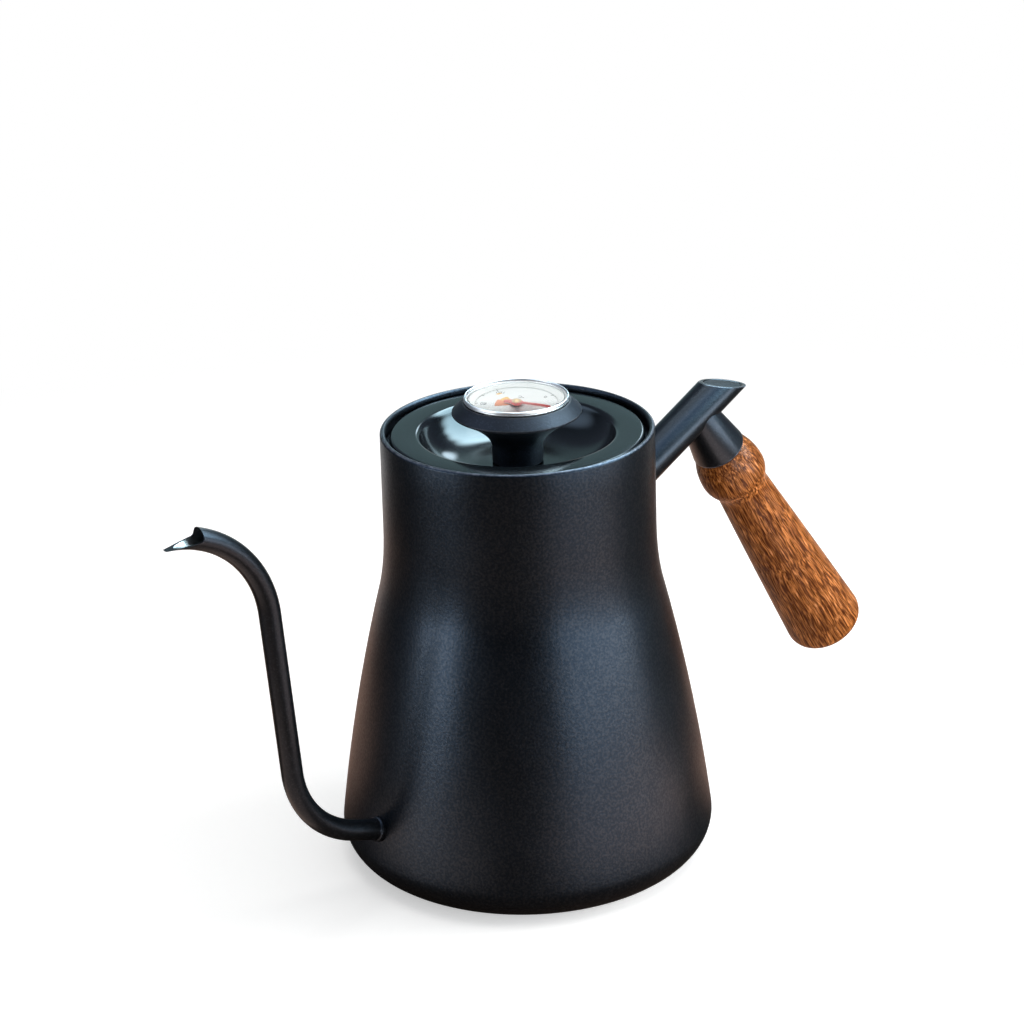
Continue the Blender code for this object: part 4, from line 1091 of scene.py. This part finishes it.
DRILL_DEPTH = 6 * MM
drill_tree, drill_in, drill_end = geometry_tree(
    "Drills on an arc",
    Int=("Count",),
    Float=("Ring Radius", "Middle", "Pitch", "Drill Radius", "Level"),
    Material=("Finish",),
)
half_count = sums(drill_tree, "MULTIPLY_ADD", drill_in["Count"], 0.5, -0.5)
from_middle = sums(drill_tree, "SUBTRACT", out(drill_tree, "GeometryNodeInputIndex"), half_count)
drill_bearing = sums(drill_tree, "ADD", times(drill_tree, from_middle, drill_in["Pitch"]), drill_in["Middle"])
drill_place = polar(drill_tree, drill_bearing, drill_in["Ring Radius"], drill_in["Level"])
drill_shape = {"Vertices": 32, "Radius": drill_in["Drill Radius"], "Depth": DRILL_DEPTH}
drill = out(drill_tree, "GeometryNodeMeshCylinder", drill_shape)
set_out(drill_tree, drill_in, drill_end, drill_place, Instance=drill)
print("tree:", drill_tree.name)

# %% Lid with its vents
LID_FINISHES = [lid_coat, brushed_steel]
vent_values = {
    "Count": 3,
    "Ring Radius": 36.3 * MM,
    "Middle": math.radians(53.0),
    "Pitch": math.radians(10.9),
    "Drill Radius": 1.7 * MM,
    "Level": LID_TOP * MM,
    "Finish": lid_coat,
}
vents = shown("vents", grown(drill_tree, vent_values, bpy.data.meshes.new("vents")))
lid_mesh = difference(turned(lid_points, 160, lid_underside), [vents], LID_FINISHES)
piece("lid", lid_mesh, LID_FINISHES, "lid", "coated_lid", "lid_plate")

SKIRT_SHEET, SKIRT_LOW, SKIRT_HIGH = 0.7, LID_TOP - 12.2, LID_TOP - 1.2
skirt = box(SKIRT_RADIUS - SKIRT_SHEET, SKIRT_RADIUS, SKIRT_LOW, SKIRT_HIGH)
lathed("skirt", skirt, 0.25, brushed_steel, "lid", "bare_steel", "lid_skirt")

# %% [markdown]
# ## Knob
# The knob is a moulded mushroom: a narrow neck that flares to a wide edge, a bevel above it, and a
# cup on top for the thermometer. A hollow bolt runs down through it and is held under the lid by a
# soft washer and a nut.

# %% Knob, bolt and washer
KNOB_FOOT, KNOB_EDGE_Z, KNOB_TOP = 136.6, 153.0, 157.0
KNOB_NECK, KNOB_WIDE, KNOB_LAND, CUP_RADIUS, CUP_FLOOR = 8.25, 20.9, 17.4, 16.5, 152.5
HEAD_SPACE, HEAD_SEAT = 6.5, 150.3
straight = KNOB_FOOT + 0.3 * (KNOB_EDGE_Z - KNOB_FOOT)
flare_bend = (KNOB_NECK, straight + 0.45 * (KNOB_EDGE_Z - straight))
knob = [(KNOB_NECK, KNOB_FOOT), *sweep((KNOB_NECK, straight), flare_bend, (KNOB_WIDE, KNOB_EDGE_Z), 24)]
knob += [(KNOB_WIDE, KNOB_EDGE_Z + 0.6), (KNOB_LAND, KNOB_TOP), (CUP_RADIUS, KNOB_TOP)]
knob += [(CUP_RADIUS, CUP_FLOOR), (HEAD_SPACE, CUP_FLOOR), (HEAD_SPACE, HEAD_SEAT)]
knob += [(BOLT_HOLE, HEAD_SEAT), (BOLT_HOLE, KNOB_FOOT)]
lathed("knob", knob, 0.45, knob_grain, "lid", "knob_plastic", "lid_knob")

NUT_TOP, WASHER_LOW, WASHER_TOP, WASHER_RADIUS = 133.8, 134.1, 135.1, 9.0
BOLT_BORE, BOLT_RADIUS, HEAD_RADIUS, HEAD_LOW, HEAD_TOP = 2.9, 4.2, 6.2, 150.6, 152.2
bolt = [(BOLT_BORE, NUT_TOP - 4.6), (BOLT_RADIUS - 0.4, NUT_TOP - 4.6), (BOLT_RADIUS, NUT_TOP - 4.2)]
bolt += [(BOLT_RADIUS, HEAD_LOW), (HEAD_RADIUS, HEAD_LOW), (HEAD_RADIUS, HEAD_TOP), (BOLT_BORE, HEAD_TOP)]
lathed("bolt", bolt, 0.3, brushed_steel, "lid", "bare_steel", "knob_bolt", 64)
washer = box(BOLT_HOLE, WASHER_RADIUS, WASHER_LOW, WASHER_TOP)
lathed("washer", washer, 0.4, soft_silicone, "lid", "silicone", "knob_washer", 64)

# %% Nut
NUT_FLAT, NUT_LOW, NUT_STEPS, NUT_EDGE = 6.5, NUT_TOP - 3.4, 96, 0.3


def spun(radius, angle, height):
    """Point at a radius, an angle and a height."""
    return (radius * math.cos(angle), radius * math.sin(angle), height)


def nut_row(angle):
    """Section of the nut at an angle: a hexagon, chamfered at its corners, with a round bore."""
    reach = NUT_FLAT / math.cos((angle + math.pi / 6) % (math.pi / 3) - math.pi / 6)
    drop = 0.25 + (reach - NUT_FLAT) * 0.6
    upper = [(BOLT_HOLE, NUT_TOP - NUT_EDGE), (BOLT_HOLE + NUT_EDGE, NUT_TOP), (NUT_FLAT - NUT_EDGE, NUT_TOP)]
    lower = [(NUT_FLAT - NUT_EDGE, NUT_LOW), (BOLT_HOLE + NUT_EDGE, NUT_LOW), (BOLT_HOLE, NUT_LOW + NUT_EDGE)]
    return [spun(r, angle, z) for r, z in (*upper, (reach, NUT_TOP - drop), (reach, NUT_LOW + drop), *lower)]


nut_rows = [nut_row(2 * math.pi * i / NUT_STEPS) for i in range(NUT_STEPS)]
piece("nut", skin(nut_rows, joined=True), [brushed_steel], "lid", "bare_steel", "knob_nut")

# %% [markdown]
# ## Thermometer
# The dial sits in a shallow steel cup in the knob: a white plate, a spacer ring, a slightly domed
# glass, and a satin bezel over its edge. A thin closed tube goes from the cup down into the water. The
# glass casts no shadow, so that the dial below it stays as bright as behind real thin glass.

# %% Case, plate, glass, bezel and stem
CASE_BORE, CASE_RADIUS, CASE_INNER, CASE_LIP = 2.6, 16.2, 15.6, 16.9
CASE_LOW, CASE_FLOOR, CASE_STEP, CASE_TOP = 152.8, 153.4, 157.3, 157.7
case = [(CASE_BORE, CASE_LOW), (CASE_RADIUS, CASE_LOW), (CASE_RADIUS, CASE_STEP), (CASE_LIP, CASE_STEP)]
case += [(CASE_LIP, CASE_TOP), (CASE_INNER, CASE_TOP), (CASE_INNER, CASE_FLOOR), (CASE_BORE, CASE_FLOOR)]
lathed("case", case, 0.2, satin_steel, "lid", "bright_steel", "thermometer_case")

DIAL_TOP, DIAL_LOW, DIAL_RADIUS, DIAL_HOLE = 155.0, 154.5, 15.3, 0.9
dial = box(DIAL_HOLE, DIAL_RADIUS, DIAL_LOW, DIAL_TOP)
lathed("dial", dial, 0.1, dial_enamel, "lid", "dial_white", "dial_plate")
SPACER_LOW, SPACER_TOP = 155.15, 156.5
spacer = [(13.1, SPACER_LOW), (DIAL_RADIUS, SPACER_LOW), (DIAL_RADIUS, SPACER_TOP), (14.9, SPACER_TOP)]
lathed("spacer", spacer, 0.15, dial_enamel, "lid", "dial_white", "dial_spacer")

LENS_LOW, LENS_STEP, LENS_EDGE, LENS_RADIUS, LENS_RISE, LENS_RINGS = 156.7, 157.75, 157.95, 16.25, 0.6, 14
glass = [(0, LENS_LOW), (DIAL_RADIUS, LENS_LOW), (DIAL_RADIUS, LENS_STEP), (LENS_RADIUS, LENS_STEP)]
for k in range(LENS_RINGS + 1):
    share = 1 - k / LENS_RINGS
    glass.append((LENS_RADIUS * share, LENS_EDGE + LENS_RISE * (1 - share ** 2)))
lens = piece("lens", turned(glass), [lens_glass], "lid", "lens", "dial_lens")
lens.visible_shadow = False
bezel = [(16.3, LENS_STEP), (CASE_LIP, LENS_STEP), *arc((16.55, 158.25), 0.35, 0, 180, 10), (16.2, 158.2)]
piece("bezel", turned(soften(bezel, 0.05, 60.0)), [satin_steel], "lid", "bright_steel", "bezel_ring")

STEM_RADIUS, STEM_BORE, STEM_FLANGE, STEM_SEAT, STEM_TOP, STEM_ROUND = 2.3, 1.8, 3.3, 153.7, 154.2, 62.7
stem = [(STEM_BORE, STEM_TOP), (STEM_FLANGE, STEM_TOP), (STEM_FLANGE, STEM_SEAT), (STEM_RADIUS, STEM_SEAT)]
stem += [*arc((0, STEM_ROUND), STEM_RADIUS, 0, -90, 10)[:-1], (0, STEM_ROUND - STEM_RADIUS)]
stem += [(0, STEM_ROUND - STEM_BORE), *arc((0, STEM_ROUND), STEM_BORE, -90, 0, 8)[1:]]
piece("stem", turned(stem, 48), [polished_steel], "lid", "bright_steel", "probe_stem")

# %% [markdown]
# ## Print on the dial
# The scale runs clockwise from 0 to 100 degrees over three quarters of a turn. Its marks repeat round
# the dial, every fifth one longer, so they come from Geometry Nodes. The numbers are text, made into
# a mesh. Two coloured zones mark the heat range for brewing. The ink stands a hair above the plate.

# %% Tree that prints marks round a dial
LONGER = 0.8
mark_tree, mark_in, mark_end = geometry_tree(
    "Dial marks",
    Int=("Count", "Every"),
    Float=("Outer Radius", "Start", "Turn", "Length", "Width", "Ink", "Level"),
    Material=("Finish",),
)
mark_index = out(mark_tree, "GeometryNodeInputIndex")
gaps = sums(mark_tree, "SUBTRACT", mark_in["Count"], 1.0)
turn_share = times(mark_tree, sums(mark_tree, "DIVIDE", mark_index, gaps), mark_in["Turn"])
mark_bearing = sums(mark_tree, "ADD", turn_share, mark_in["Start"])
major = sums(mark_tree, "LESS_THAN", sums(mark_tree, "MODULO", mark_index, mark_in["Every"]), 0.5)
stretch = sums(mark_tree, "MULTIPLY_ADD", major, LONGER, 1.0)
half_length = times(mark_tree, times(mark_tree, mark_in["Length"], stretch), 0.5)
middle_radius = sums(mark_tree, "SUBTRACT", mark_in["Outer Radius"], half_length)
mark_place = polar(mark_tree, mark_bearing, middle_radius, mark_in["Level"])
bar_sides = {0: mark_in["Length"], 1: mark_in["Width"], 2: mark_in["Ink"]}
bar = out(mark_tree, "GeometryNodeMeshCube", {"Size": out(mark_tree, "ShaderNodeCombineXYZ", bar_sides)})
spin = out(mark_tree, "ShaderNodeCombineXYZ", {2: mark_bearing})
facing = out(mark_tree, "FunctionNodeEulerToRotation", {0: spin})
wide = out(mark_tree, "ShaderNodeCombineXYZ", {0: stretch, 1: stretch, 2: 1.0})
set_out(mark_tree, mark_in, mark_end, mark_place, Instance=bar, Rotation=facing, Scale=wide)
print("tree:", mark_tree.name)

# %% Marks and numbers
SCALE_START, SCALE_TURN, INK = -9.0, -270.0, 0.03
INK_LEVEL = DIAL_TOP + INK / 2
mark_values = {
    "Count": 51,
    "Every": 5,
    "Outer Radius": 13.9 * MM,
    "Start": math.radians(SCALE_START),
    "Turn": math.radians(SCALE_TURN),
    "Length": 0.9 * MM,
    "Width": 0.16 * MM,
    "Ink": INK * MM,
    "Level": INK_LEVEL * MM,
    "Finish": dial_ink,
}
print_mesh = bmesh.new()
print_mesh.from_mesh(grown(mark_tree, mark_values, bpy.data.meshes.new("marks")))
UPRIGHT = math.radians(SCALE_START + SCALE_TURN / 2 - 90)


def reading(value):
    """Bearing of a reading on the scale, in radians."""
    return math.radians(SCALE_START + SCALE_TURN * value / 100)


def print_text(text, bearing, radius, size):
    """Printed text, upright on the dial, added to the print."""
    letters = bpy.data.curves.new("number", "FONT")
    letters.body, letters.size, letters.extrude = text, size * MM, INK / 2 * MM
    letters.resolution_u, letters.align_x, letters.align_y = 3, "CENTER", "CENTER"
    holder = shown("number", letters)
    mesh = plain_mesh(holder)
    spot = Vector(spun(radius, bearing, INK_LEVEL)) * MM
    mesh.transform(Matrix.Translation(spot) @ Matrix.Rotation(UPRIGHT, 4, "Z"))
    print_mesh.from_mesh(mesh)
    bpy.data.objects.remove(holder, do_unlink=True)


for value in range(0, 101, 20):
    print_text(str(value), reading(value), 10.4, 2.1)
print_text("°C", reading(50) + math.pi, 5.4, 1.9)
bmesh.ops.remove_doubles(print_mesh, verts=print_mesh.verts, dist=1e-7)
piece("dial_print", print_mesh, [dial_ink], "lid", "dial_white")

# %% Coloured zones
ZONE_STEPS, ZONE_LOW, ZONE_TOP = 16, DIAL_TOP + 0.004, DIAL_TOP + 0.02


def zone_rows(start, end, inner, outer):
    """Sections of a thin sector between two readings."""
    bearings = [reading(start + (end - start) * i / ZONE_STEPS) for i in range(ZONE_STEPS + 1)]
    section = box(inner, outer, ZONE_LOW, ZONE_TOP)
    return [[spun(r, bearing, z) for r, z in section] for bearing in bearings]


zone_mesh = bmesh.new()
skin(zone_rows(76, 89, 1.9, 6.8), slot=1, mesh_data=zone_mesh)
skin(zone_rows(89.3, 100, 1.9, 6.2), mesh_data=zone_mesh)
skin(zone_rows(96, 100, 9.3, 10.3), mesh_data=zone_mesh)
piece("dial_zones", zone_mesh, [zone_yellow, zone_red], "lid", "dial_white")

# %% [markdown]
# ## Needle
# The needle is a thin red pointer with a broad tail, fixed to the end of the arbor by a small button.
# It rides on its own body, so it turns when the joint turns. It is built straight and then turned to
# its rest reading.

# %% Needle and button
NEEDLE_REST, NEEDLE_LOW, NEEDLE_TOP, NEEDLE_EYE = math.radians(-54.0), 155.3, 155.6, 1.8
half = [(11.0, 0.07), (2.2, 0.28)]
half += [spun(NEEDLE_EYE, angle, 0)[:2] for angle in np.linspace(math.radians(22), math.radians(135), 12)]
half += [(-2.4, 0.6), (-3.8, 0.5), (-4.1, 0.35)]
needle_outline = half + [(x, -y) for x, y in reversed(half)]
needle_mesh = skin([[(x, y, z) for x, y in needle_outline] for z in (NEEDLE_LOW, NEEDLE_TOP)])
to_rest = Matrix.Rotation(NEEDLE_REST, 3, "Z")
bmesh.ops.rotate(needle_mesh, verts=needle_mesh.verts, cent=(0, 0, 0), matrix=to_rest)
piece("needle", needle_mesh, [needle_paint], "needle", "pointer_red", "pointer")

BUTTON_RADIUS, BUTTON_LOW, BUTTON_SIDE, BUTTON_TOP = 1.5, 155.62, 155.8, 156.2
button = [(0, BUTTON_LOW), (BUTTON_RADIUS, BUTTON_LOW), (BUTTON_RADIUS, BUTTON_SIDE)]
button += [(min(r, BUTTON_RADIUS), z) for r, z in arc((0, 154.6), 1.6, 49, 90, 6)[:-1]] + [(0, BUTTON_TOP)]
lathed("needle_button", button, 0.15, turned_brass, "needle", "brass", "pointer_hub", 48)

# %% [markdown]
# ## Hidden works
# The stud and its sleeve inside the grip, the bush, the arbor and the wound strip inside the stem keep
# their solids, which have the right shape already. They only change to the finishes made above.

# %% Finishes of the hidden works
for node, finish in (
    ("grip_stud", brushed_steel),
    ("grip_insert", turned_brass),
    ("arbor_bush", turned_brass),
    ("bimetal_coil", turned_brass),
    ("pointer_arbor", polished_steel),
):
    for material_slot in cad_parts[node].material_slots:
        material_slot.material = finish
    print(node, "wears", finish.name)

# %% [markdown]
# ## Studio
# A black kettle shows little colour of its own: what the eye reads is what it mirrors. Two low lamps
# at the left and right of the camera draw the long highlights on the flank, a broad one hangs overhead,
# and two warm cards on the floor brighten the lower edge. A fill lamp at the right is seen only by matt
# surfaces, and the left lamp only by glossy ones, which gives the wood a light and a dark side.
# To the camera and through glass, floor and sky are white. What the coat mirrors is a dim, warm room
# with a window, and the white ground only behind the kettle, because white all round turns black grey.

# %% Floor
FLOOR_REACH, FLOOR_GLOW = 6, 0.45
WHITE, FLOOR_WHITE = colour(1, 1, 1), colour(0.82, 0.82, 0.82)
FLOOR_BACK, FLOOR_FRONT, FLOOR_TABLE = (0.035, 0.030, 0.028), (0.30, 0.20, 0.15), (0.74, 0.46, 0.35)


def seen_directly(tree, rays):
    """Mask of what the camera sees, straight or through glass."""
    return sums(tree, "MAXIMUM", rays["Is Camera Ray"], rays["Is Transmission Ray"])


floor_mesh = bpy.data.meshes.new("floor")
floor_corners = [(x * FLOOR_REACH, y * FLOOR_REACH, 0) for x, y in ((-1, -1), (1, -1), (1, 1), (-1, 1))]
floor_mesh.from_pydata(floor_corners, [], [(0, 1, 2, 3)])
floor = shown("floor", floor_mesh)
floor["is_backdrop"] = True
floor_paint, tree, shader, place = new_finish("floor_paint", Roughness=0.9, Specular_IOR_Level=0.1)
floor_mesh.materials.append(floor_paint)
rays = add(tree, "ShaderNodeLightPath").outputs
back_of, side_of = measure(tree, "DOT_PRODUCT", place, AWAY), measure(tree, "DOT_PRODUCT", place, RIGHT)
near_axis = times(tree, ramp(tree, side_of, 0.18, 0.07), ramp(tree, side_of, -0.26, -0.16))
table = times(tree, ramp(tree, back_of, 0.0, 0.06), near_axis)
aside = blend(tree, ramp(tree, back_of, 0.0, -0.12), colour(*FLOOR_BACK), colour(*FLOOR_FRONT))
mirrored_floor = blend(tree, table, aside, colour(*FLOOR_TABLE))
drive(tree, shader, Base_Color=blend(tree, rays["Is Glossy Ray"], FLOOR_WHITE, mirrored_floor))
seen = times(tree, rays["Is Camera Ray"], FLOOR_GLOW)
glow = out(tree, "ShaderNodeEmission", {"Color": WHITE, "Strength": seen})
lit = out(tree, "ShaderNodeAddShader", {0: shader.outputs[0], 1: glow})
behind_kettle = ramp(tree, sums(tree, "ABSOLUTE", side_of), 0.40, 0.25)
ground_card = times(tree, ramp(tree, back_of, 0.18, 0.40), behind_kettle)
mirrored_ground = times(tree, ground_card, rays["Is Glossy Ray"])
far_out = ramp(tree, measure(tree, "LENGTH", place), 0.28, 0.55)
open_ground = times(tree, far_out, seen_directly(tree, rays))
plain_white = out(tree, "ShaderNodeEmission", {"Color": WHITE, "Strength": 1.0})
beyond = sums(tree, "MAXIMUM", open_ground, mirrored_ground)
ground = out(tree, "ShaderNodeMixShader", {0: beyond, 1: lit, 2: plain_white})
tree.links.new(ground, tree.nodes["Material Output"].inputs[0])
print("floor laid")

# %% Lamps
COOL, FLANK, UPWARD = (0.94, 0.98, 1.0), (0, 0, 0.08), (0, 0, 9)


def soft_lamp(name, bearing, distance, height, size, radiance, tint, target):
    """Rectangular lamp; bearing is in degrees to the right of the camera's side of the kettle."""
    lamp = bpy.data.lights.new(name, "AREA")
    lamp.shape = "RECTANGLE"
    lamp.size, lamp.size_y = size
    lamp.energy = radiance * math.pi * size[0] * size[1]
    lamp.color = tint
    made = shown(name, lamp)
    angle = math.radians(bearing)
    made.location = (RIGHT * math.sin(angle) - AWAY * math.cos(angle)) * distance + UP * height
    made.rotation_euler = (Vector(target) - made.location).to_track_quat("-Z", "Y").to_euler()
    made.visible_camera = False
    return made


left_lamp = soft_lamp("left_lamp", -64, 0.9, 0.13, (0.42, 0.25), 10.5, COOL, FLANK)
soft_lamp("right_lamp", 56, 0.75, 0.13, (0.90, 0.25), 6.3, COOL, FLANK)
soft_lamp("top_lamp", 120, 0.25, 1.6, (1.4, 1.4), 1.8, (1.0, 0.99, 0.97), (0, 0, 0.1))
soft_lamp("left_card", -48, 0.155, 0.004, (0.13, 0.13), 1.1, (1.0, 0.72, 0.58), UPWARD)
soft_lamp("right_card", 50, 0.19, 0.004, (0.22, 0.18), 2.1, (1.0, 0.70, 0.58), UPWARD)
right_fill = soft_lamp("right_fill", 100, 0.7, 0.16, (0.5, 0.3), 15.0, (1.0, 0.98, 0.96), (0.1, 0, 0.09))
left_lamp.visible_diffuse = False
right_fill.visible_glossy = False
print("lamps set")

# %% Sky
ROOM_FRONT, ROOM_SIDES, ROOM_BACK = (0.018, 0.015, 0.014), (0.12, 0.14, 0.19), (0.30, 0.46, 0.49)
SHADE, WINDOW = colour(0.36, 0.36, 0.36), (11, 14.5, 16)
PATCHES = (
    (14, 50, 16, 7, WINDOW),
    (40, 53, 18, 9, WINDOW),
    (66, 48, 20, 10, WINDOW),
    (92, 36, 27, 10, WINDOW),
    (13, 21, 6, 2, (5.0, 6.2, 7.0)),
    (153, 56.5, 34, 12, (1.0, 1.35, 1.8)),
    (-97.6, 40.7, 36, 8, (1.5, 1.8, 2.3)),
)
world = bpy.context.scene.world or bpy.data.worlds.new("studio")
bpy.context.scene.world = world
world.use_nodes = True
sky = world.node_tree
sky.nodes.clear()
rays = add(sky, "ShaderNodeLightPath").outputs
direction = add(sky, "ShaderNodeTexCoord").outputs["Generated"]


def patch(room, bearing, rise, wide, narrow, tone):
    """Room with a soft bright patch, in degrees: right of straight back, up, and its outer and inner edge."""
    bearing, rise = math.radians(bearing), math.radians(rise)
    level = AWAY * math.cos(bearing) + RIGHT * math.sin(bearing)
    toward = measure(sky, "DOT_PRODUCT", direction, level * math.cos(rise) + UP * math.sin(rise))
    mask = ramp(sky, toward, math.cos(math.radians(wide)), math.cos(math.radians(narrow)))
    return blend(sky, mask, room, colour(*tone))


def background(tone):
    return out(sky, "ShaderNodeBackground", {"Color": tone, "Strength": 1.0})


behind = measure(sky, "DOT_PRODUCT", direction, AWAY)
sides = blend(sky, ramp(sky, behind, -0.2, 0.6), colour(*ROOM_FRONT), colour(*ROOM_SIDES))
back_wall = blend(sky, ramp(sky, behind, 0.80, 0.95), sides, colour(*ROOM_BACK))
room = blend(sky, ramp(sky, behind, 0.985, 0.998), back_wall, WHITE)
for values in PATCHES:
    room = patch(room, *values)
mirrored_or_shade = {0: rays["Is Glossy Ray"], 1: background(SHADE), 2: background(room)}
indirect = out(sky, "ShaderNodeMixShader", mirrored_or_shade)
whole = {0: seen_directly(sky, rays), 1: indirect, 2: background(WHITE)}
add(sky, "ShaderNodeOutputWorld", {0: out(sky, "ShaderNodeMixShader", whole)})
bpy.context.scene.view_settings.view_transform = "Standard"
print("sky set")

# %% Sizes kept for comparison
low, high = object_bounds()
for label, size in (("solids", cad_high - cad_low), ("dressed", high - low)):
    print(label, [round(value / MM, 1) for value in size])
